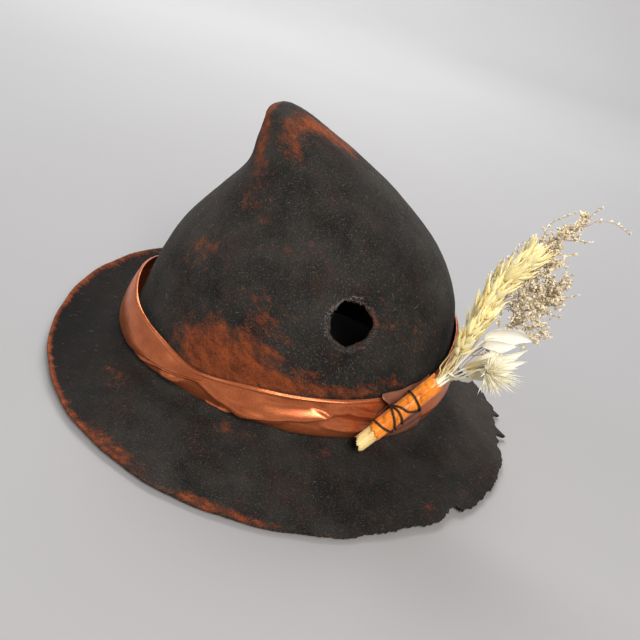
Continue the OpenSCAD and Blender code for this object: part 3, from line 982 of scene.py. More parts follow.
        rows, columns = places.shape[:2]
        wall = 0.5 * (places[0] + inner[0]) + unit(places[0] - places[1]) * 0.35
        sheet = np.concatenate([inner[::-1], wall[None], places])
        faces = grid_faces(2 * rows + 1, columns, True)
        keep = np.ones(faces.shape[:2], bool)
        keep[:rows - 1] = ~gone[::-1]
        keep[rows + 1:] = ~gone
        work = Workpiece("felt_crown_and_brim")
        shade = np.concatenate([rust[::-1] * 0.5, rust[:1] * 0.8, rust])
        # `dyed` carries that painted shade to both faces of the felt, as the `deep` value
        dyed = np.concatenate([dye[::-1], dye[:1], dye])
        work.add(sheet, faces[keep], rust=shade.ravel(), deep=dyed.ravel())
        self.close_tips(work, sheet, rust[-1].mean())
        self.line_hole(work, gone, rows, columns, sheet)
        piece = work.build(self.finish.material(), Slot.FELT, "felt_body")
        return piece, places, out

    def hole_centre(self) -> Array:
        """Centre of the hole on the crown's outer face."""
        level = self.form.station(np.array(self.hole_height))
        return self.form.crown(level, np.array(self.hole_angle))

    @staticmethod
    def directions(places: Array) -> Array:
        """Outward directions of a grid of places whose rows close on themselves.

        Args:
            places: Shape (rows, columns, 3).

        Returns:
            Unit directions, same shape.
        """
        along = np.gradient(places, axis=0)
        around = np.roll(places, -1, axis=1) - np.roll(places, 1, axis=1)
        return unit(np.cross(around, along))

    @staticmethod
    def close_tips(work: Workpiece, sheet: Array, rust: float) -> None:
        """Closes the last ring at the tip, outside and inside, with a fan.

        Args:
            work: The piece under construction.
            sheet: All rows, inner face first.
            rust: Scorch strength there.
        """
        columns = sheet.shape[1]
        ring = np.arange(columns)
        last = (len(sheet) - 1) * columns
        start = work.count
        outer = sheet[-1].mean(0) + [-0.2, 0, 0.5]
        inner = sheet[0].mean(0) + [-0.2, 0, 0.4]
        fan = np.stack([last + ring, last + (ring + 1) % columns, np.full(columns, start)], -1)
        under = np.stack([(ring + 1) % columns, ring, np.full(columns, start + 1)], -1)
        work.add(np.stack([outer, inner]), fan - start, under - start, rust=rust, deep=0.0)

    @staticmethod
    def line_hole(work: Workpiece, gone: Array, rows: int, columns: int, sheet: Array) -> None:
        """Walls the cut edge of the hole between the two faces of the felt.

        Args:
            work: The piece under construction.
            gone: True for each removed cell.
            rows: Rows of the outer face.
            columns: Columns of the grid.
            sheet: All rows, inner face first.
        """
        i, j = np.nonzero(gone)
        i0, i1, j0, j1 = i.min(), i.max() + 1, j.min(), j.max() + 1
        ring = [(i0, k) for k in range(j0, j1)] + [(k, j1) for k in range(i0, i1)]
        ring += [(i1, k) for k in range(j1, j0, -1)] + [(k, j0) for k in range(i1, i0, -1)]
        rc = np.array(ring)
        outer = (rows + 1 + rc[:, 0]) * columns + rc[:, 1]
        inner = (rows - 1 - rc[:, 0]) * columns + rc[:, 1]
        flat = sheet.reshape(-1, 3)
        middle = 0.5 * (flat[outer] + flat[inner])
        centre = middle.mean(0)
        rng = np.random.default_rng(17)
        middle = middle + unit(centre - middle) * (0.7 + 0.5 * rng.random((len(middle), 1)))
        start = work.count
        mid = start + np.arange(len(rc))
        step = np.roll(np.arange(len(rc)), -1)
        upper = np.stack([outer, outer[step], mid[step], mid], -1)
        lower = np.stack([mid, mid[step], inner[step], inner], -1)
        work.add(middle, upper - start, lower - start, rust=0.2, deep=0.0)


@dataclass
class LintHairs:
    """Loose hairs on the felt, a burnt fuzz round the hole and a frayed line on the torn edge."""

    places: Array
    out: Array
    hole: Array
    hole_r: float
    finish: LintWool = field(default_factory=LintWool)
    count: int = 1500
    rim_count: int = 600

    def hairs(
        self, foot: Array, out: Array, length: Array, lift: float, rng: np.random.Generator
    ) -> Array:
        """Curly paths that start on the felt.

        Args:
            foot: Starting places, shape (hairs, 3).
            out: Outward directions there.
            length: Length of each hair.
            lift: How far its end stands off, as a share of its length.
            rng: Seeded source of the curls.

        Returns:
            Paths of five points, shape (hairs, 5, 3).
        """
        wild = rng.normal(size=foot.shape)
        along = unit(wild - (wild * out).sum(-1, keepdims=True) * out)
        across = np.cross(out, along)
        t = np.linspace(0, 1, 5)[None, :, None]
        curl = rng.uniform(-0.9, 0.9, (len(foot), 1, 1))
        size = length[:, None, None]
        sway = across[:, None] * (curl * t * t) * size
        rise = out[:, None] * (lift * np.sin(t * 2.4)) * size
        return foot[:, None] + along[:, None] * t * size * 0.85 + sway + rise + out[:, None] * 0.05

    def build(self) -> bpy.types.Object:
        """Makes all hairs as one piece.

        Returns:
            The piece.
        """
        rng = np.random.default_rng(31)
        work = Workpiece("felt_lint")
        rows, columns = self.places.shape[:2]
        flat, out = self.places.reshape(-1, 3), self.out.reshape(-1, 3)
        cell = np.linalg.norm(np.roll(self.places, -1, 1) - self.places, axis=-1)
        tall = np.linalg.norm(np.gradient(self.places, axis=0), axis=-1)
        weight = (cell * tall).ravel()
        weight[np.linalg.norm(flat - self.hole, axis=-1) < self.hole_r + 0.5] = 0
        pick = rng.choice(len(flat), self.count, p=weight / weight.sum())
        foot = flat[pick] + rng.normal(size=(self.count, 3)) * 0.4
        length = rng.gamma(2.4, 0.6, self.count) + 0.6
        paths = self.hairs(foot, out[pick], length, 0.16, rng)
        thin = np.array([1, 0.9, 0.8, 0.6, 0.2])
        radius = rng.uniform(0.025, 0.055, (self.count, 1)) * thin
        tint = rng.uniform(0, 1, self.count) ** 2.2
        work.add_rods(paths, radius, radius, np.array([0.3, 0.2, 1]), 3, tint)

        gap = np.linalg.norm(flat - self.hole, axis=-1)
        near = np.nonzero((gap > self.hole_r - 0.6) & (gap < self.hole_r + 2.2))[0]
        pick = rng.choice(near, self.rim_count)
        inward = unit(self.hole - flat[pick])
        paths = self.hairs(flat[pick], unit(out[pick] + 0.5 * inward),
                           rng.uniform(0.8, 2.0, self.rim_count), 0.35, rng)
        pale = ease(-inward @ unit(np.array([-0.8, 0, 0.6])), 0.0, 0.9)
        radius = 0.045 * thin[None]
        work.add_rods(paths, radius, radius, np.array([0.3, 0.2, 1]), 3, 0.15 + 0.65 * pale)

        edge = self.places[0][::2]
        away = unit(self.places[0] - self.places[2])[::2]
        count = len(edge)
        paths = self.hairs(edge, away, rng.uniform(0.8, 2.2, count), 0.9, rng)
        radius = 0.05 * thin[None]
        work.add_rods(paths, radius, radius, np.array([0.3, 0.2, 1]), 3, rng.uniform(0, 0.6, count))
        return work.build(self.finish.material(), Slot.FELT)


# ------------------------------------------------------------------ bands


@dataclass(frozen=True)
class Fold:
    """A fold or crease of the band along a path of (angle, height) places.

    `rise` is its height, negative for a crease, and `above` and `below` are how far it fades
    over and under the path.
    """

    path: tuple[tuple[float, float], ...]
    rise: float
    above: float
    below: float
    fade: float = 6.0

    def height(self, angle: Array, z: Array) -> Array:
        """Height that the fold adds at each place.

        Args:
            angle: Angles in degrees.
            z: Heights above the opening.

        Returns:
            Heights, negative for a crease.
        """
        knots = np.array(self.path)
        line = np.interp(angle, knots[:, 0], knots[:, 1])
        first, last = knots[0, 0], knots[-1, 0]
        inside = ease(angle, first, first + self.fade) * (1 - ease(angle, last - self.fade, last))
        d = z - line
        return self.rise * inside * np.exp(-((d / np.where(d > 0, self.above, self.below)) ** 2))


@dataclass
class SatinBand:
    """Strip of copper satin draped round the crown, pinched at the left of the bundle."""

    form: HatForm
    finish: Satin = Satin(
        name="satin_copper", dark="#752a17", light="#ee8a55", roughness=0.28, gloss=0.7
    )
    cloth: float = 0.45
    relief: float = 1.25
    flat: tuple[float, float] = (0.036, 0.60)
    folds: tuple[Fold, ...] = (
        # Back left: a broad facet over a rolled strip, then the pinch
        Fold(((-176, 4), (-153, 1.5), (-136, 8.2), (-117, 14.8), (-110, 17)), 1.7, 7.0, 0.5),
        Fold(((-165, -3), (-152, -2), (-140, 3.4), (-128, 9), (-118, 12.6), (-111, 15)), 1.3, 2.0, 0.6),
        Fold(((-142, 1), (-131, 4), (-124, 6.5), (-116, 10)), 1.1, 3.0, 2.2),
        Fold(((-139, 0.5), (-128, 3.2), (-120, 6.0)), -0.8, 0.5, 0.5, 4),
        Fold(((-129, 6.4), (-123.5, 7.4), (-117, 8.0)), 1.4, 2.4, 1.7, 4),
        # From the pinch a ridge turns down and becomes the front layer
        Fold(((-118, 15), (-112, 13), (-106, 10), (-98, 7), (-90, 7), (-82, 10)), 1.5, 4.2, 1.4),
        Fold(((-111, 2.4), (-105, 1.8), (-99, 3.8)), 1.3, 1.0, 1.2, 3),
        Fold(((-110, 4.0), (-105, 3.6), (-100, 5.2)), -0.9, 0.5, 0.5, 3),
        Fold(((-103, 4.6), (-97, 6.6), (-91, 9.0), (-79, 14.4), (-68, 20), (-62, 22.6)), 1.7, 5.5, 0.4, 8),
        Fold(((-98, 19), (-88, 19.5), (-74, 22), (-64, 25)), -1.0, 3.4, 3.4, 9),
        # Lower layer by the keeper with its short deep crease
        Fold(((-88, 3), (-76, 6), (-66, 8), (-56, 11)), 1.2, 5.0, 4.0, 8),
        Fold(((-79, 24), (-72, 20.8), (-67, 18), (-58, 15.4), (-52, 14.6)), -1.3, 2.8, 0.9, 9),
        Fold(((-74, 13), (-64, 11), (-55, 10)), 0.9, 2.4, 2.4, 5),
        # Gathers that run into the keeper
        Fold(((-66, 26), (-60, 24), (-53, 21)), -0.5, 0.8, 0.8, 4),
        Fold(((-64, 22), (-58, 20), (-52, 18.6)), 0.7, 0.9, 0.7, 4),
        Fold(((-60, 5), (-56, 8), (-51, 12)), 0.6, 0.9, 0.8, 3),
        # Wide front, then the unseen left side
        Fold(((-40, 12), (-22, 17), (0, 22), (24, 20), (48, 12)), 1.2, 7, 1.2, 12),
        Fold(((-30, 30), (-8, 38), (18, 42), (44, 34), (66, 22)), 1.0, 5, 1.4, 12),
        Fold(((34, 8), (56, 14), (80, 18), (104, 14)), 1.4, 5, 0.6, 9),
        Fold(((78, 5), (100, 9), (122, 15), (146, 20)), 1.5, 5, 0.5, 9),
        Fold(((96, 19), (116, 16), (138, 10), (160, 8)), -1.0, 1.8, 1.2, 8),
        Fold(((128, 6), (150, 12), (168, 18), (179.9, 22)), 1.4, 5.5, 0.8, 9),
    )

    def low(self, angle: Array) -> Array:
        """Height of the band's lower edge."""
        return 1.2 + 14 * bump(angle, 10, 45)

    def high(self, angle: Array) -> Array:
        """Height of the band's upper edge."""
        wide = 24 + 32 * bump(angle, 15, 50) + 3 * bump(angle, 295, 25)
        return wide + 8 * bump(angle, 180, 25) - 4.5 * bump(angle, 245, 12)

    def offset(self, angle: Array) -> Array:
        """How far the drape stands off the crown."""
        lift = 3.5 * bump(angle, 195, 35) + 2.5 * bump(angle, 165, 25) + 1.5 * bump(angle, 5, 30)
        return 0.4 + lift

    def build(self) -> bpy.types.Object:
        """Returns:
            The piece.
        """
        rows = 60
        angles = np.arange(-180, 179.9, 0.5)
        v = np.linspace(0, 1, rows)[:, None]
        angle = np.broadcast_to(angles, (rows, len(angles)))
        low = self.low(angle)
        z = mix(low, self.high(angle), v)
        belly = 2.5 - 1.5 * bump(angle, -44, 20)
        swell = 1.0 + belly * (1 - (2 * v - 1) ** 2)
        pinch = 1 - 0.5 * bump(angle, -113, 6)
        folds = self.relief * sum(fold.height(angle, z) for fold in self.folds)
        drape = np.stack([angle * 0.5, z * 1.3, 0 * z], -1)
        folds = folds + 0.13 * Waves(17, 40).at(drape) + 0.03 * Waves(6, 41).at(drape)
        hem = 0.55 * np.exp(-(((v - 0.955) / 0.03) ** 2)) - 1.0 * ease(v, 0.965, 1.0)
        tuck = -1.3 * (1 - ease(v, 0.0, 0.07))
        off = self.offset(angle) + np.maximum((swell + folds) * pinch + hem + tuck, 0.55)
        outer = self.form.on_crown(z, angle, off)
        step = 4
        back = np.concatenate([outer[::step], outer[-1:]])[::-1]
        back_off = np.concatenate([off[::step], off[-1:]])[::-1] - self.cloth
        back_z = np.concatenate([z[::step], z[-1:]])[::-1]
        back = self.form.on_crown(back_z, np.broadcast_to(angles, back_z.shape), back_off)
        strip = np.concatenate([outer, back, outer[:1]])
        count = len(outer) + len(back)
        faces = grid_faces(count + 1, len(angles), True) % (count * len(angles))
        work = Workpiece("satin_band_drape")
        work.add(strip[:-1], faces)
        piece = work.build(self.finish.material(), Slot.SATIN, "satin_band")
        return piece


@dataclass
class BandKeeper:
    """Short brown strip that crosses the band under the bundle, its left edge curled out."""

    band: SatinBand
    finish: Satin = Satin(
        name="satin_brown_dull", dark="#4a281c", light="#a0664e", roughness=0.38, gloss=0.35
    )
    start: float = -53.0
    span: float = 19.5
    rows: int = 64
    columns: int = 56
    flat: tuple[float, float] = (0.034, 0.034)

    def build(self) -> bpy.types.Object:
        """Returns:
            The piece.
        """
        v, u = np.mgrid[0 : 1 : self.rows * 1j, 0 : 1 : self.columns * 1j]
        scallop = 0.9 * np.sin(v * 17 + 1) + 0.5 * np.sin(v * 31)
        angle = self.start + self.span * u + scallop * np.exp(-u / 0.12)
        low = self.band.low(angle) + 1.5
        high = self.band.high(angle) + 4.0 + 1.2 * u + 0.5 * np.sin(u * 15) * u
        z = mix(low, high, v)
        wrinkle = 0.3 * np.sin(17 * v + 5 * u + 1.3 * np.sin(6 * u)) * ease(v, 0.25, 0.6)
        wrinkle = wrinkle + 0.12 * np.sin(41 * v - 9 * u) * ease(u, 0.1, 0.5)
        curl = 1.5 * np.exp(-((u / 0.07) ** 2)) * (0.6 + 0.4 * np.sin(v * 17 + 1))
        seam = 0.3 * np.exp(-(((u - 0.93) / 0.02) ** 2))
        roll = 2.0 * np.exp(-(((v - 0.88) / 0.09) ** 2)) - 1.2 * ease(v, 0.94, 1)
        off = 3.9 + wrinkle + curl + seam + roll + 1.1 * np.sin(math.pi * v) * (1 - u * 0.4)
        outer = self.band.form.on_crown(z, angle, off)
        inner = self.band.form.on_crown(z, angle, off - 0.5)
        work = Workpiece("band_keeper_strip")
        work.add(*closed_strip(outer, inner))
        piece = work.build(self.finish.material(), Slot.KEEPER, "band_keeper")
        return piece


@dataclass
class Sweatband:
    """Ribbed ribbon sewn round the inside of the head opening."""

    form: HatForm
    finish: Grosgrain = field(default_factory=Grosgrain)
    low: float = 1.0
    high: float = 26.0
    face: float = -3.8
    thick: float = 1.2
    rib: float = 1.6
    flat: tuple[float, float] = (0.025, 0.565)

    def build(self) -> bpy.types.Object:
        """Returns:
            The piece.
        """
        angles = np.arange(-180, 179.9, 0.5)
        v = np.array([0, 0.0, 0.06, 0.1, 0.14, 0.3, 0.5, 0.7, 0.9, 0.97, 1.0])[:, None]
        angle = np.broadcast_to(angles, (len(v), len(angles)))
        around = np.radians(angle) * 95 / self.rib
        ribs = 0.5 + 0.5 * np.cos(2 * math.pi * around)
        stitch = 0.25 * np.exp(-(((v - 0.1) / 0.03) ** 2))
        inner = self.face - self.thick - 0.14 * ribs + stitch
        inner = inner + 0.4 * ease(np.abs(v - 0.5) + 0 * angle, 0.42, 0.5)
        z = mix(self.low, self.high, v) + 0 * angle
        near = self.form.on_crown(z, angle, inner)
        far = self.form.on_crown(z[::-1], angle, np.full(z.shape, self.face))
        ring = np.concatenate([near[::-1], far[::-1]])
        count = len(ring)
        faces = grid_faces(count + 1, len(angles), True) % (count * len(angles))
        work = Workpiece("grosgrain_sweatband")
        tint = np.concatenate([ribs[::-1], ribs])
        work.add(ring, faces, tint=tint.ravel())
        piece = work.build(self.finish.material(), Slot.SWEATBAND, "sweatband")
        return piece


# ------------------------------------------------------------------ bundle


@dataclass
class BundleAxis:
    """The line that the husk, its cord and the stems share."""

    low: Array = field(default_factory=lambda: np.array([58.0, -87.0, 11.4]))
    top: Array = field(default_factory=lambda: np.array([88.7, -67.0, 50.7]))

    def __post_init__(self) -> None:
        """Works out the directions along and across the bundle."""
        self.length = float(np.linalg.norm(self.top - self.low))
        self.ahead = unit(self.top - self.low)
        lean = np.array([0.66, -0.75, 0.0])
        self.out = unit(lean - (lean @ self.ahead) * self.ahead)
        self.side = np.cross(self.ahead, self.out)

    def place(self, along: Array, r: Array, angle: Array) -> Array:
        """Places round the axis.

        Args:
            along: Distance from the lower end.
            r: Distance off the axis.
            angle: Angle round it in degrees.

        Returns:
            Places, shape (..., 3).
        """
        a = np.radians(angle)
        along, r, a = (np.asarray(x, float)[..., None] for x in (along, r, a))
        return (
            self.low + self.ahead * along
            + r * np.cos(a) * self.side + r * np.sin(a) * self.out
        )


@dataclass
class RolledHusk:
    """The dyed outer husk and the pale inner one, rolled round the stems."""

    axis: BundleAxis
    dyed: DriedPlant = DriedPlant(
        name="corn_husk_dyed_orange", dark="#8c2c05", light="#f68f20", foot="#b8540e",
        foot_reach=0.2, roughness=0.34, streak=2.4, relief=0.2,
    )
    pale: DriedPlant = DriedPlant(
        name="corn_husk_bare", dark="#a8762c", light="#f0d591", foot="#d9a850",
        foot_reach=0.2, roughness=0.45, streak=0.9, relief=0.14,
    )
    radius: float = 5.2

    def roll(
        self, name: str, start: float, end: float, r: float, seed: int, foot_slant: float
    ) -> Workpiece:
        """A leaf rolled a little more than once, ribbed lengthwise, with ragged ends.

        Args:
            name: The piece's name.
            start: Lower end along the axis.
            end: Upper end along the axis.
            r: Outer radius.
            seed: Seed of the ribs and the ragged ends.
            foot_slant: How much lower its low end reaches on the side away from the crown.

        Returns:
            The workpiece.
        """
        sides, rows = 190, 46
        rng = np.random.default_rng(seed)
        u = np.linspace(0, 1, sides)[None, :]
        v = np.linspace(0, 1, rows)[:, None]
        angle = 205 + 425 * u + 0 * v
        ribs = 0.03 * np.sin(u * 150 + 0.8 * np.sin(v * 5)) + 0.035 * np.sin(u * 67 + 2 + v * 3)
        wave = 0.20 * np.sin(v * 13 + u * 4) * np.sin(u * 9 + 1)
        # Creases across the husk: they dent its surface and, through the tint below, carry painted shade
        creases = sum(
            np.exp(-(((v - at - 0.05 * np.sin(u * 9)) / 0.02) ** 2)) * bump(angle, turned, 38)
            for at, turned in ((0.14, 190), (0.33, 120), (0.52, 175), (0.71, 130), (0.83, 185))
        )
        dents = -0.3 * creases
        shape = r - 0.42 * (1 - u) + ribs + wave + dents
        shape = shape + 0.25 * ease(v, 0.93, 1.0) * np.sin(u * 26)
        shape = shape + 0.35 * np.exp(-(((v - 0.90) / 0.012) ** 2)) * bump(angle, 150, 60)
        ragged = np.convolve(rng.normal(size=sides + 8), np.ones(5) / 5, "same")[4:-4][None, :]
        slant = 1.7 * np.cos(np.radians(angle + 40)) + 1.1 * ragged
        notch = 1.6 * bump(angle, 205, 14) - foot_slant * bump(angle, 80, 75)
        along = mix(start, end, v) + slant * (np.abs(2 * v - 1) ** 2) + notch * (1 - v) ** 2
        outer = self.axis.place(along, shape, angle)
        inner = self.axis.place(along, shape - 0.34, angle)
        work = Workpiece(name)
        points, faces, edge = closed_strip(outer, inner)
        streak = rng.uniform(0, 1, sides)
        streak = np.convolve(np.tile(streak, 3), np.ones(3) / 3, "same")[sides : 2 * sides]
        # Painted shade: the tint darkens along the creases, where their hollows lie in shade
        tint = (0.5 + 0.32 * (streak - 0.5) - 0.4 * creases + 0.12 * np.sin(v * 23)).ravel()
        length = np.broadcast_to(v, (rows, sides)).ravel()
        work.add(
            points, faces[:, ::-1], edge[:, ::-1],
            tint=np.tile(tint, 2), along=np.tile(0.3 + 0.7 * length, 2),
        )
        return work

    def build(self) -> list[bpy.types.Object]:
        """Makes both husks.

        Returns:
            The outer and the inner piece.
        """
        high = self.axis.length
        outer = self.roll("husk_outer_roll", start=8.2, end=high - 2, r=self.radius, seed=6,
                          foot_slant=1.2)
        inner = self.roll("husk_inner_roll", start=-3.0, end=high - 5, r=self.radius - 0.7, seed=9,
                          foot_slant=2.0)
        return [
            outer.build(self.dyed.material(), Slot.HUSK, "husk_wrap"),
            inner.build(self.pale.material(), Slot.INNER_HUSK, "inner_husk"),
        ]


@dataclass
class Lashing:
    """Cord wound round the husk: a low turn, two that spread from one point, a diagonal and
    a top turn. Stations are (distance along the bundle, angle round it)."""

    axis: BundleAxis
    finish: WaxedCord = field(default_factory=WaxedCord)
    r: float = 5.95
    cord_r: float = 0.62
    stations: tuple[tuple[float, float], ...] = (
        (9.4, 290), (10.4, 215), (11.6, 146), (13.2, 100), (14.0, 60), (17.0, -40), (21.6, -120),
        (22.4, -150), (22.0, -177), (20.0, -223), (17.4, -268), (16.8, -300), (18.4, -400),
        (22.0, -480), (22.9, -510), (24.2, -562), (23.6, -600), (22.4, -632), (21.6, -660),
        (21.8, -760), (22.6, -840), (23.2, -870), (26.6, -918), (28.4, -962), (31.6, -994),
        (33.0, -1020), (34.6, -1110), (35.8, -1200), (36.2, -1232), (36.2, -1283), (34.8, -1350),
        (34.2, -1380), (33.8, -1450),
    )

    def build(self) -> bpy.types.Object:
        """Makes the cord with its two-strand twist.

        Returns:
            The piece.
        """
        path = curve(self.stations, 420)
        t = np.linspace(0, 1, len(path))
        r = self.r + 0.06 * np.sin(t * 400) + 0.25 * np.sin(t * 21) ** 2
        centre = self.axis.place(path[:, 0], r, path[:, 1])[None]
        twist = self.cord_r * (1 + 0.10 * np.sin(t * 900))[None]
        work = Workpiece("lashing_cord")
        work.add_rods(centre, twist, twist, self.axis.ahead, 9)
        return work.build(self.finish.material(), Slot.CORD, "binding_thread")


@dataclass
class StemSlot:
    """A stem's place in the husk: off the axis by `r` at `angle`, then through `places`."""

    axis: BundleAxis
    r: float
    angle: float
    places: tuple[tuple[float, float, float], ...]
    stem_r: float = 0.72
    strands: int = 0

    def path(self, steps: int = 60) -> Array:
        """The stem's centre line.

        Args:
            steps: Number of steps along it.

        Returns:
            Places, shape (steps + 1, 3).
        """
        size = self.axis.length
        inside = [
            self.axis.place(x, k * self.r, self.angle)
            for x, k in ((-2, 1), (size / 2, 1), (size, 1), (size + 5, 1.5))
        ]
        return curve([tuple(p) for p in inside] + list(self.places), steps)

    def add(self, work: Workpiece, tint: float = 0.5) -> None:
        """Adds the stem, thinner at its head, and the loose strands that leave the husk with it.

        Args:
            work: The piece under construction.
            tint: Tint of the stem.
        """
        path = self.path()
        taper = self.stem_r * np.linspace(1.0, 0.7, len(path))[None]
        work.add_rods(path[None], taper, taper, self.axis.out, 8, tint)
        free = path[len(path) // 3 :]
        t = np.linspace(0, 1, len(free))[:, None]
        for k in range(self.strands):
            a = math.radians(self.angle + 70 + 150 * k)
            away = self.axis.side * math.cos(a) + self.axis.out * math.sin(a)
            strand = free + away * (0.7 + 2.6 * np.sin(math.pi * t**0.8) * (0.7 + 0.3 * k))
            thin = 0.42 * np.linspace(1.0, 0.6, len(free))[None]
            work.add_rods(strand[None], thin, thin, self.axis.out, 6, tint + 0.3 * (k % 2))


def pods(
    work: Workpiece,
    foot: Array,
    tip: Array,
    flat: Array,
    wide: Array,
    deep: Array,
    bow: Array | float,
    tint: Array,
    rings: int = 6,
    sides: int = 6,
    fullness: float = 0.6,
) -> None:
    """Adds pointed husks, seeds or petals, each a closed body from a narrow foot to a point.

    Args:
        work: The piece under construction.
        foot: Feet, shape (n, 3).
        tip: Points, shape (n, 3).
        flat: Directions of the width.
        wide: Half widths.
        deep: Half depths.
        bow: How far the middle is bent along the depth.
        tint: Tint of each.
        rings: Cross sections of each.
        sides: Sides of a cross section.
        fullness: Below 1 puts the widest place nearer the foot.
    """
    t = np.linspace(0, 1, rings)
    profile = np.sin(math.pi * np.clip(t**fullness, 0.07, 0.975)) ** 0.85
    ahead = tip - foot
    depth = unit(np.cross(ahead, flat))
    paths = foot[:, None] + ahead[:, None] * t[None, :, None]
    bend = np.broadcast_to(bow, (len(foot),))[:, None, None] * np.sin(math.pi * t)[None, :, None]
    paths = paths + depth[:, None] * bend
    work.add_rods(
        paths, np.asarray(wide).reshape(-1, 1) * profile, np.asarray(deep).reshape(-1, 1) * profile,
        flat, sides, tint,
    )


@dataclass
class GrainEar:
    """A dried grain ear: pointed glumes in pairs of rows that overlap up its axis."""

    name: str
    node: str
    stem: StemSlot
    axis_places: tuple[tuple[float, float, float], ...]
    count: int
    plump: float
    glume: float
    finish: DriedPlant
    seed: int
    tuft: int = 0

    def build(self) -> bpy.types.Object:
        """Makes the stem, the ear's axis, its glumes and the tuft at its head.

        Returns:
            The piece.
        """
        rng = np.random.default_rng(self.seed)
        work = Workpiece(self.name)
        self.stem.add(work, 0.35)
        axis = curve(self.axis_places, 60)
        core = np.full((1, len(axis)), self.plump * 0.34)
        core[0] *= np.sin(math.pi * np.linspace(0.12, 0.95, len(axis))) ** 0.6
        work.add_rods(axis[None], core, core, self.stem.axis.out, 10, 0.3)
        share = np.linspace(0, 1, self.count) ** 0.95
        at = catmull(axis, share * 0.985 * (len(axis) - 1))
        ahead = unit(catmull(axis, np.minimum(share * 60 + 1, 60)) - catmull(axis, share * 60 - 1))
        turned = np.radians(np.arange(self.count) * 137.5) + rng.normal(0, 0.45, self.count)
        side = unit(np.cross(ahead, self.stem.axis.out))
        front = np.cross(side, ahead)
        ray = side * np.cos(turned)[:, None] + front * np.sin(turned)[:, None]
        swell = (self.plump * (0.66 + 0.34 * np.sin(math.pi * share**0.8)))[:, None]
        foot = at + ray * swell * 0.22
        length = self.glume * rng.uniform(0.75, 1.25, (self.count, 1))
        lean = rng.uniform(0.26, 0.68, (self.count, 1))
        tip = foot + unit(ahead + ray * lean) * length
        width = np.cross(ahead, ray)
        tint = rng.uniform(0.1, 1, self.count)
        wide = length[:, 0] * rng.uniform(0.12, 0.21, self.count)
        pods(work, foot, tip, width, wide, wide * 0.5, -0.7, tint, 8, 8)
        # Each glume has a thin awn-like keel that gives its sharp point
        keel = tip + unit(ahead + ray * lean * 0.6) * length * rng.uniform(0.1, 0.3, (self.count, 1))
        pods(work, mix(foot, tip, 0.7), keel, width, wide * 0.3, wide * 0.2, 0.0, tint, 4, 4)
        if self.tuft:
            self.add_tuft(work, axis[-1], ahead[-1], side[-1], front[-1], rng)
        return work.build(self.finish.material(), Slot.STRAW, self.node)

    def add_tuft(
        self, work: Workpiece, at: Array, ahead: Array, side: Array, front: Array,
        rng: np.random.Generator,
    ) -> None:
        """Adds the broader bright glumes that open at the ear's head.

        Args:
            work: The piece under construction.
            at: End of the ear's axis.
            ahead: Direction of the axis there.
            side: Direction across it.
            front: Direction across it, square to side.
            rng: Seeded source of the spread.
        """
        turned = rng.uniform(0, 2 * math.pi, self.tuft)
        ray = np.cos(turned)[:, None] * side + np.sin(turned)[:, None] * front
        foot = at - ahead * rng.uniform(2, 17, (self.tuft, 1)) + ray * 2.0
        lean = rng.uniform(0.15, 0.8, (self.tuft, 1))
        tip = foot + unit(ahead + ray * lean) * rng.uniform(8.5, 13.5, (self.tuft, 1))
        wide = rng.uniform(1.5, 2.3, self.tuft)
        width = np.cross(np.broadcast_to(ahead, ray.shape), ray)
        pods(work, foot, tip, width, wide, wide * 0.28, -0.8, rng.uniform(0.8, 1.2, self.tuft), 8, 8)


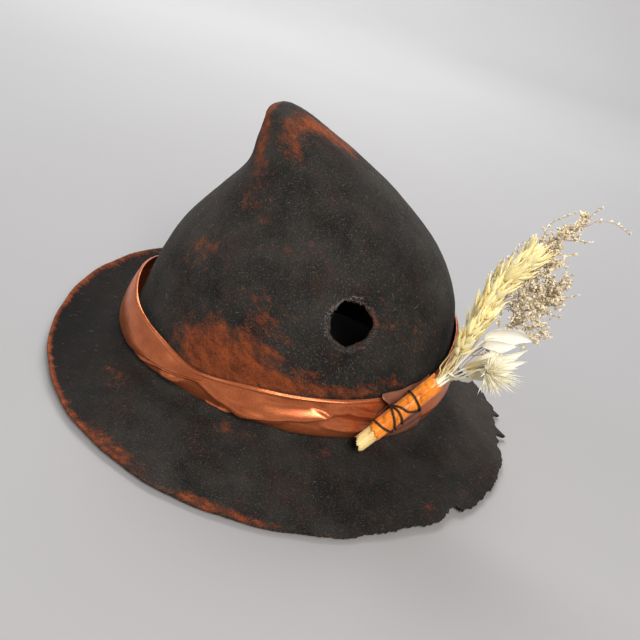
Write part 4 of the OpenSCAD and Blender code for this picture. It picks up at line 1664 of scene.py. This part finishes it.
@dataclass
class LavenderSpray:
    """A branch of dried sea lavender: twigs that fork and carry rows of tiny papery cups."""

    name: str
    node: str
    stem: StemSlot
    places: tuple[tuple[float, float, float], ...]
    twigs: int
    reach: float
    spread: tuple[float, float, float]
    finish: DriedPlant
    seed: int
    wisps: tuple[tuple[tuple[float, float, float], ...], ...] = ()
    cups: int = 8
    wisp_cups: int = 16
    forks: int = 5
    # Every other twig leans this share of the spread, to the branch's other side
    back_lean: float = -0.3

    def twig(self, work: Workpiece, path: Array, r: float) -> None:
        """Adds one brown twig along a path."""
        taper = np.linspace(r, r * 0.5, len(path))[None]
        work.add_rods(path[None], taper, taper, np.array([0.1, 1, 0.2]), 5, 0.05)

    def flower(self, work: Workpiece, path: Array, count: int, rng: np.random.Generator) -> None:
        """Sets papery cups along the outer part of a twig.

        Args:
            work: The piece under construction.
            path: The twig's centre line.
            count: Number of cups.
            rng: Seeded source of their places and leans.
        """
        t = rng.uniform(0.25, 1.0, count) ** 0.8 * (len(path) - 1)
        foot = catmull(path, t)
        ahead = unit(path[-1] - path[0])
        ray = unit(rng.normal(size=(count, 3)) + np.array([0.2, -0.5, 0.5]))
        tip = foot + unit(ahead * 0.9 + ray) * rng.uniform(1.3, 2.3, (count, 1))
        flat = unit(rng.normal(size=(count, 3)))
        wide = rng.uniform(0.35, 0.62, count)
        tint = np.where(rng.random(count) < 0.58, rng.uniform(0.7, 1.2, count),
                        rng.uniform(0.0, 0.5, count))
        pods(work, foot, tip, flat, wide, wide * 0.7, 0.1, tint, 4, 5, 1.35)
        spread = unit(tip - foot + flat * 1.1)
        pods(work, foot, foot + spread * 1.6, ray, wide * 0.8, wide * 0.35, 0.0, tint * 0.8, 4, 4, 1.3)

    def build(self) -> bpy.types.Object:
        """Makes the stem, the forking twigs, the cups and the long wisps.

        Returns:
            The piece.
        """
        rng = np.random.default_rng(self.seed)
        work = Workpiece(self.name)
        self.stem.add(work, 0.15)
        axis = curve(self.places, 40)
        self.twig(work, axis, 0.6)
        ahead = unit(axis[-1] - axis[0])
        lean = np.array(self.spread)
        for k in range(self.twigs):
            foot = catmull(axis, np.array(4 + 35 * k / (self.twigs - 1)))
            go = unit(ahead + lean * (1 if k % 2 == 0 else self.back_lean) + rng.uniform(-0.6, 0.6, 3))
            size = self.reach * (1.15 - 0.45 * k / self.twigs) * rng.uniform(0.8, 1.15)
            bend = unit(rng.normal(size=3)) * size * 0.16
            branch = curve([tuple(foot), tuple(foot + go * size * 0.5 + bend), tuple(foot + go * size)], 8)
            self.twig(work, branch, 0.28)
            self.flower(work, branch, self.cups, rng)
            for _ in range(self.forks):
                start = catmull(branch, np.array(rng.uniform(2, 7.5)))
                way = unit(go + rng.normal(size=3) * 0.75)
                end = start + way * size * rng.uniform(0.28, 0.55)
                fork = curve([tuple(start), tuple(mix(start, end, 0.5) + rng.normal(size=3) * 0.4),
                              tuple(end)], 5)
                self.twig(work, fork, 0.17)
                self.flower(work, fork, self.cups, rng)
        for places in self.wisps:
            wisp = curve(places, 14)
            self.twig(work, wisp, 0.3)
            self.flower(work, wisp, self.wisp_cups, rng)
        return work.build(self.finish.material(), Slot.LAVENDER, self.node)


@dataclass(frozen=True)
class Blade:
    """One papery bract: its centre line, half width, cupping and the direction of its width."""

    places: tuple[tuple[float, float, float], ...]
    half_width: float
    cup: float
    flat: tuple[float, float, float]
    tint: float = 0.8

    def add(self, work: Workpiece, seed: int) -> None:
        """Adds the bract as a thin closed leaf with raised veins and a wavy edge.

        Args:
            work: The piece under construction.
            seed: Seed of the wavy edge.
        """
        steps, across = 34, 17
        rng = np.random.default_rng(seed)
        path = curve(self.places, steps - 1)
        ahead = unit(np.gradient(path, axis=0))
        flat = np.array(self.flat)
        wide = unit(flat - (ahead @ flat)[:, None] * ahead)
        deep = np.cross(ahead, wide)
        t = np.linspace(0, 1, steps)[:, None]
        w = np.linspace(-1, 1, across)[None, :]
        half = self.half_width * np.sin(math.pi * np.clip(t**0.85, 0.03, 0.985)) ** 1.05
        phase = rng.uniform(0, 6, 3)
        wavy = 1 + 0.05 * np.sin(9 * t + phase[0]) * np.sign(w) + 0.03 * np.sin(23 * t + phase[1])
        lift = self.cup * (w**2 - 0.4) * half + 0.05 * np.cos(w * 24)
        lift = lift + 0.25 * np.sin(11 * t + phase[2]) * np.abs(w) ** 3
        thick = 0.16 * (1 - 0.6 * np.abs(w) ** 4)
        base = path[:, None] + wide[:, None] * (w * half * wavy)[..., None]
        upper = base + deep[:, None] * (lift + thick)[..., None]
        lower = base + deep[:, None] * (lift - thick)[..., None]
        points, faces, edge = closed_strip(upper, lower)
        streak = self.tint + 0.28 * np.cos(w * 24) + 0 * t
        along = np.broadcast_to(t, streak.shape).ravel()
        work.add(points, faces, edge, tint=np.tile(streak.ravel(), 2), along=np.tile(along, 2))


@dataclass
class PaperyBract:
    """A papery flower bract with its stem and the smaller bracts beside it."""

    name: str
    node: str
    stem: StemSlot
    blades: tuple[Blade, ...]
    finish: DriedPlant
    seed: int

    def build(self) -> bpy.types.Object:
        """Makes the stem and the bracts.

        Returns:
            The piece.
        """
        work = Workpiece(self.name)
        self.stem.add(work, 0.6)
        for k, blade in enumerate(self.blades):
            blade.add(work, self.seed + k)
        return work.build(self.finish.material(), Slot.BRACT, self.node)


@dataclass
class BristleHead:
    """A fluffy head: stiff pointed bristles that fan from a small core."""

    stem: StemSlot
    core: tuple[float, float, float]
    heading: tuple[float, float, float]
    finish: DriedPlant
    count: int = 260
    reach: float = 21.0
    core_pods: int = 60
    widest_tilt: float = 84.0
    seed: int = 77

    def build(self) -> bpy.types.Object:
        """Makes the stem, the core and the bristles.

        Returns:
            The piece.
        """
        rng = np.random.default_rng(self.seed)
        work = Workpiece("bristle_flower_head")
        self.stem.add(work, 0.5)
        core = np.array(self.core)
        way = unit(np.array(self.heading))
        side = unit(np.cross(way, [0, 0, 1]))
        up = np.cross(side, way)
        k = np.arange(self.count)
        tilt = np.radians(self.widest_tilt * np.sqrt((k + 0.5) / self.count) + rng.normal(0, 4, self.count))
        spin = np.radians(k * 137.5)
        ray = side * np.cos(spin)[:, None] + up * np.sin(spin)[:, None]
        go = way * np.cos(tilt)[:, None] + ray * np.sin(tilt)[:, None]
        length = self.reach * (1 - 0.42 * np.sin(tilt)) * rng.uniform(0.75, 1.05, self.count)
        foot = core + go * 1.2
        tip = core + go * length[:, None] + rng.normal(0, 0.7, (self.count, 3))
        wide = rng.uniform(0.26, 0.46, self.count)
        flat = unit(rng.normal(size=(self.count, 3)))
        pods(work, foot, tip, flat, wide, wide * 0.55, rng.normal(0, 0.5, self.count),
             rng.uniform(0.2, 1.1, self.count), 6, 5, 0.8)
        n = self.core_pods
        small = unit(rng.normal(size=(n, 3)))
        pods(work, np.repeat(core[None], n, 0), core + small * rng.uniform(2.2, 4.2, (n, 1)),
             unit(rng.normal(size=(n, 3))), np.full(n, 0.6), np.full(n, 0.4), 0.0,
             rng.uniform(0, 0.3, n), 4, 5)
        return work.build(self.finish.material(), Slot.STRAW, "bristle_head")


@dataclass
class DriedFlowers:
    """All dried plants of the bundle."""

    axis: BundleAxis
    inner: float = 1.7
    straw: DriedPlant = DriedPlant(
        name="dried_grain_straw", dark="#c2a452", light="#f7eab2", foot="#a88f4c",
        foot_reach=0.30, roughness=0.6, streak=0.7, relief=0.08, glow=0.2,
    )
    bristle: DriedPlant = DriedPlant(
        name="dried_bristle", dark="#ead9a0", light="#fdf8e0", foot="#c09a4c",
        foot_reach=0.45, roughness=0.6, streak=0.7, relief=0.08, glow=0.3,
    )
    lavender: DriedPlant = DriedPlant(
        name="dried_sea_lavender", dark="#8a7150", light="#f2e5c6", foot="#7a6140",
        foot_reach=0.14, roughness=0.75, streak=0.5,
    )
    paper: DriedPlant = DriedPlant(
        name="dried_bract_white", dark="#e4d9b4", light="#fdf9ec", foot="#d3c384",
        foot_reach=0.3, roughness=0.45, streak=1.2, relief=0.05, glow=0.5,
    )
    yellow: DriedPlant = DriedPlant(
        name="dried_bract_yellow_foot", dark="#f2e6b4", light="#fffbe6", foot="#e2c33c",
        foot_reach=0.62, roughness=0.5, streak=1.2, relief=0.05, glow=0.4,
    )

    @property
    def outer(self) -> float:
        """Radius of the outer ring of stems."""
        return self.inner * math.sqrt(3)

    def ears(self) -> list[GrainEar]:
        """The two grain ears.

        Returns:
            The long ear and the short one.
        """
        long_ear = ((95, -60, 77), (98.5, -57, 95), (103.5, -54.5, 113), (112.5, -51.5, 130))
        short_ear = ((90.5, -72, 71), (93, -73, 84), (97.5, -73, 98))
        return [
            GrainEar(
                name="grain_ear_long", node="wheat_ear_long",
                stem=StemSlot(self.axis, self.inner, 240, ((93.5, -61.8, 65), *long_ear[:2]),
                              strands=3),
                axis_places=long_ear, count=150, plump=8.4, glume=11.0, finish=self.straw, seed=11,
                tuft=26,
            ),
            GrainEar(
                name="grain_ear_short", node="wheat_ear_short",
                stem=StemSlot(self.axis, self.inner, 180, ((90.5, -68, 62), *short_ear[:2]),
                              strands=2),
                axis_places=short_ear, count=64, plump=5.6, glume=9.5, finish=self.straw, seed=12,
            ),
        ]

    def sprays(self) -> list[LavenderSpray]:
        """The three branches of sea lavender.

        Returns:
            The middle, near and far branch.
        """
        mid = ((105, -50, 87), (109.5, -46.5, 103), (116, -44.5, 116), (123, -41.5, 129))
        near = ((111, -58, 81), (117, -55, 94), (124, -52, 105), (131, -50, 114))
        far = ((110, -41, 109), (118, -39, 128), (124, -38, 139.4), (131, -36, 146.5))
        return [
            LavenderSpray(
                name="sea_lavender_branch_mid", node="sea_lavender_mid",
                stem=StemSlot(self.axis, 0, 0, ((98, -57, 68), mid[0]), strands=2), places=mid,
                twigs=28, reach=15, spread=(0.8, 0.0, -0.3), finish=self.lavender, seed=4,
                wisps=(
                 ((107.5, -48, 96), (99.2, -48, 104.7), (97.5, -48, 112.3), (98.9, -48, 120.7),
                  (103.1, -48, 125.8)),
                 ((111, -46, 106), (103.5, -47.5, 119), (103.4, -48, 129.5), (107.1, -48, 134.3),
                  (109.1, -48, 139.1)),
                 ((118, -45, 118), (126.5, -44, 115.2), (133.9, -44, 118.3), (139.6, -44, 120.8))),
            ),
            LavenderSpray(
                name="sea_lavender_branch_near", node="sea_lavender_near",
                stem=StemSlot(self.axis, self.inner, 0, ((100, -60, 67), near[0]), strands=2),
                places=near, twigs=32, reach=15, spread=(0.75, 0.1, -0.5), finish=self.lavender,
                seed=9,
                wisps=(
                 ((108, -60, 77), (110, -59, 84), (108, -58, 92), (107, -57, 98)),
                 ((109, -60, 79), (113, -59, 86), (118, -58, 88), (123, -57, 88)),
                 ((110, -59, 81), (113, -58, 88), (115, -57, 95)),
                 ((101, -61, 68), (105, -66, 73), (108, -68, 79)),
                 ((122, -53, 100), (129.3, -48, 107.2), (138.9, -48, 111.7), (144.2, -48, 115.4)),
                 ((112, -58, 84), (118.4, -57, 88.7), (128.3, -57, 85.6), (133.2, -57, 84.7)),
                 ((117, -56, 93), (123.8, -55, 97.3), (132.2, -55, 93.7), (136.8, -55, 90.8)),
                 ((123, -53, 102), (127.6, -53, 102.7), (135, -53, 101.4), (139.5, -53, 101.6))),
            ),
            LavenderSpray(
                name="sea_lavender_branch_far", node="sea_lavender_far",
                stem=StemSlot(self.axis, self.inner, 300, ((96, -53, 67), (103, -43, 83), far[0])),
                places=far, twigs=18, reach=11, spread=(0.5, 0.0, -0.2), finish=self.lavender,
                seed=15,
                wisps=(
                 ((124, -38, 139.4), (133.4, -36, 146.7), (136.4, -36, 155.3), (140.5, -36, 162.5)),
                 ((133.4, -36, 146.7), (138.9, -36, 152), (142.2, -36, 154.8), (150.2, -36, 155.7),
                  (160.1, -36, 152.3)),
                 ((118, -39, 128), (116.2, -42, 138.5), (116.8, -42, 146.5), (120.5, -42, 151.2),
                  (126.7, -42, 156.1)),
                 ((124.1, -38, 138.4), (133.8, -38, 140.9), (142.7, -38, 142.6)),
                 ((119.2, -40, 132), (128.9, -40, 131.6), (136.4, -40, 134.1)),
                 ((117, -40, 126), (127.5, -40, 127.5), (134.7, -40, 128.6))),
            ),
        ]

    def bracts(self) -> list[PaperyBract]:
        """The white bract, the two yellow-footed ones and the slim one.

        Returns:
            The four bracts.
        """
        white = ((102, -69.5, 83), (107, -71.5, 88), (116, -71.5, 91.5), (127, -68.5, 90.3))
        upper = ((97, -74, 65), (103.5, -75, 70), (114, -75, 78), (125.1, -72.5, 86))
        lower = ((98.2, -78.5, 66), (104.5, -79, 70), (115.5, -79, 77), (126.2, -77, 82))
        slim = ((96, -71, 57), (98.7, -73.5, 59), (101.3, -76, 61.2), (104, -78, 64))
        return [
            PaperyBract(
                "bract_white_broad", "white_bract",
                StemSlot(self.axis, self.inner, 120, ((96, -67.5, 67), white[0], white[1])),
                (Blade(white, 7.0, 0.5, (-0.35, -0.25, 0.9), 1.0),
                 Blade(((102, -71, 80), (107, -74, 84), (113, -75, 86), (119, -74, 87)), 3.8, 0.5,
                       (-0.4, -0.1, 0.9), 0.8)),
                self.paper, 50,
            ),
            PaperyBract(
                "bract_yellow_upper", "yellow_bract_upper",
                StemSlot(self.axis, self.inner, 60, ((94.5, -69.8, 59), upper[0], upper[1])),
                (Blade(upper, 5.2, 0.6, (-0.35, -0.2, 0.9), 0.85),
                 Blade(((97, -73, 65), (102, -74, 72), (109, -74, 80), (117, -73, 85)), 3.0, 0.7,
                       (-0.5, -0.3, 0.8), 0.7),
                 Blade(((98, -75, 66), (105, -77, 72), (114, -78, 79), (121, -77, 82)), 2.6, 0.7,
                       (-0.4, -0.4, 0.8), 0.9)),
                self.yellow, 60,
            ),
            PaperyBract(
                "bract_yellow_lower", "yellow_bract_lower",
                StemSlot(self.axis, self.outer, 150, ((94.2, -74, 59), lower[0], lower[1])),
                (Blade(lower, 4.6, 0.6, (-0.35, -0.2, 0.9), 0.85),
                 Blade(((98, -79, 65), (104, -81, 68), (112, -82, 72), (120, -81, 76)), 3.0, 0.7,
                       (-0.3, -0.2, 0.9), 0.75),
                 Blade(((98, -80, 65), (103, -82, 70), (109, -84, 76), (116, -84, 81)), 2.4, 0.8,
                       (-0.4, -0.3, 0.8), 0.65)),
                self.yellow, 70,
            ),
            PaperyBract(
                "bract_slim", "slim_bract",
                StemSlot(self.axis, self.outer, 30, (slim[0], slim[1])),
                (Blade(slim, 1.9, 0.6, (-0.35, -0.2, 0.9), 0.85),),
                self.paper, 80,
            ),
        ]

    def build(self) -> list[bpy.types.Object]:
        """Makes every plant.

        Returns:
            The pieces.
        """
        core = (105.2, -90.0, 75.5)
        way = unit(np.array([0.88, -0.38, 0.28]))
        before = tuple(np.array(core) - way * 5)
        head = BristleHead(
            StemSlot(self.axis, self.outer, 90, ((95.5, -79, 61), before, core)),
            core, (0.88, -0.38, 0.28), self.bristle,
        )
        return [part.build() for part in (*self.ears(), *self.sprays(), *self.bracts(), head)]


# ------------------------------------------------------------------ studio


@dataclass(frozen=True)
class SoftLight:
    """A soft square light: place and aim in metres, power in watts, side in metres."""

    name: str
    place: tuple[float, float, float]
    power: float
    size: float
    colour: str
    aim: tuple[float, float, float] = (0.02, 0.0, 0.05)

    def build(self) -> None:
        """Makes the lamp and points it at its aim."""
        lamp = bpy.data.lights.new(self.name, "AREA")
        lamp.energy = self.power
        lamp.size = self.size
        lamp.color = linear(self.colour)[:3]
        made = bpy.data.objects.new(self.name, lamp)
        made.location = self.place
        way = Vector(self.aim) - Vector(self.place)
        made.rotation_euler = way.to_track_quat("-Z", "Y").to_euler()
        bpy.context.scene.collection.objects.link(made)


@dataclass
class Studio:
    """Paper floor that curves up all round, soft lights and the camera."""

    floor_z: float
    camera_place: tuple[float, float, float] = (14.3, -460.7, 265.1)
    elevation: float = 27.0
    roll: float = 17.0
    lens: float = 45.0
    paper: PaperSweep = field(default_factory=PaperSweep)
    # Metres: the flat floor's radius, the radius of its bend and the height of its wall
    flat_reach: float = 1.9
    bend_radius: float = 0.8
    wall_height: float = 3.2
    air: str = "#eef1f4"
    air_strength: float = 0.38
    # A key above the camera, a cool fill from the left, a weak rim and a wash on the paper
    lights: tuple[SoftLight, ...] = (
        SoftLight("key_soft", (0.38, -1.25, 1.15), 33, 0.7, "#fff8f0"),
        SoftLight("fill_left", (-1.45, -0.5, 0.9), 5, 1.2, "#f2f6ff"),
        SoftLight("rim_back", (-0.3, 1.2, 1.3), 8, 1.2, "#fbfbff"),
        SoftLight("backdrop_wash", (-0.4, 1.6, 1.7), 74, 1.8, "#fffdfa", aim=(-0.25, 2.0, 0.0)),
    )

    def build_sweep(self) -> None:
        """Makes the floor and its curved wall in one."""
        flat = np.linspace(0.01, self.flat_reach, 12)
        bend = np.radians(np.linspace(0, 90, 14)[1:])
        round_r = self.bend_radius
        radius = [flat, self.flat_reach + round_r * np.sin(bend), [self.flat_reach + round_r]]
        radius = np.concatenate(radius)
        height = np.concatenate([0 * flat, round_r * (1 - np.cos(bend)), [self.wall_height]])
        a = np.radians(np.arange(0, 360, 4))
        ring = np.stack([radius[:, None] * np.cos(a), radius[:, None] * np.sin(a),
                         height[:, None] + self.floor_z + 0 * a], -1)
        mesh = bpy.data.meshes.new("studio_floor")
        faces = grid_faces(len(radius), len(a), True).reshape(-1, 4)[:, ::-1]
        centre = list(range(len(a)))
        mesh.from_pydata(ring.reshape(-1, 3).tolist(), [], faces.tolist() + [centre])
        for polygon in mesh.polygons:
            polygon.use_smooth = True
        mesh.materials.append(self.paper.material())
        floor = bpy.data.objects.new("studio_floor", mesh)
        bpy.context.scene.collection.objects.link(floor)

    def build_lights(self) -> None:
        """Makes the lights and the dim even light of the room."""
        for light in self.lights:
            light.build()
        world = bpy.data.worlds.new("studio_air")
        world.use_nodes = True
        sky = world.node_tree.nodes["Background"]
        sky.inputs["Color"].default_value = linear(self.air)
        sky.inputs["Strength"].default_value = self.air_strength
        bpy.context.scene.world = world

    def build_camera(self) -> None:
        """Places the camera, turned about its own axis by the roll."""
        a, r = math.radians(self.elevation), math.radians(self.roll)
        back = Vector((0, -math.cos(a), math.sin(a)))
        flat_right = Vector((1, 0, 0))
        flat_up = back.cross(flat_right)
        right = flat_right * math.cos(r) + flat_up * math.sin(r)
        up = flat_up * math.cos(r) - flat_right * math.sin(r)
        lens = bpy.data.cameras.new("camera")
        lens.lens = self.lens
        lens.sensor_width = 36
        lens.clip_start = 0.02
        made = bpy.data.objects.new("camera", lens)
        turned = Matrix((right, up, back)).transposed().to_4x4()
        made.matrix_world = Matrix.Translation(Vector(self.camera_place) * MM) @ turned
        bpy.context.scene.collection.objects.link(made)
        bpy.context.scene.camera = made

    def build(self) -> None:
        """Makes the whole studio."""
        self.build_camera()
        self.build_sweep()
        self.build_lights()
        bpy.context.scene.view_settings.view_transform = "Standard"


def main() -> None:
    """Builds the studio and every piece of the hat, and reports each."""
    logging.basicConfig(level=logging.INFO, format="%(name)s %(message)s")
    Studio(floor_z=CAD_BOX[0][2] - 0.0006).build()
    form = HatForm()
    felt, band, axis = FeltBody(form), SatinBand(form), BundleAxis()
    felt_piece, places, out = felt.build()
    pieces = [
        felt_piece,
        LintHairs(places, out, felt.hole_centre(), felt.hole_r).build(),
        Sweatband(form).build(),
        band.build(),
        BandKeeper(band).build(),
        *RolledHusk(axis).build(),
        Lashing(axis).build(),
        *DriedFlowers(axis).build(),
    ]
    for piece in pieces:
        LOG.info("%s: %d faces", piece.name, len(piece.data.polygons))


if __name__ == "__main__":
    main()
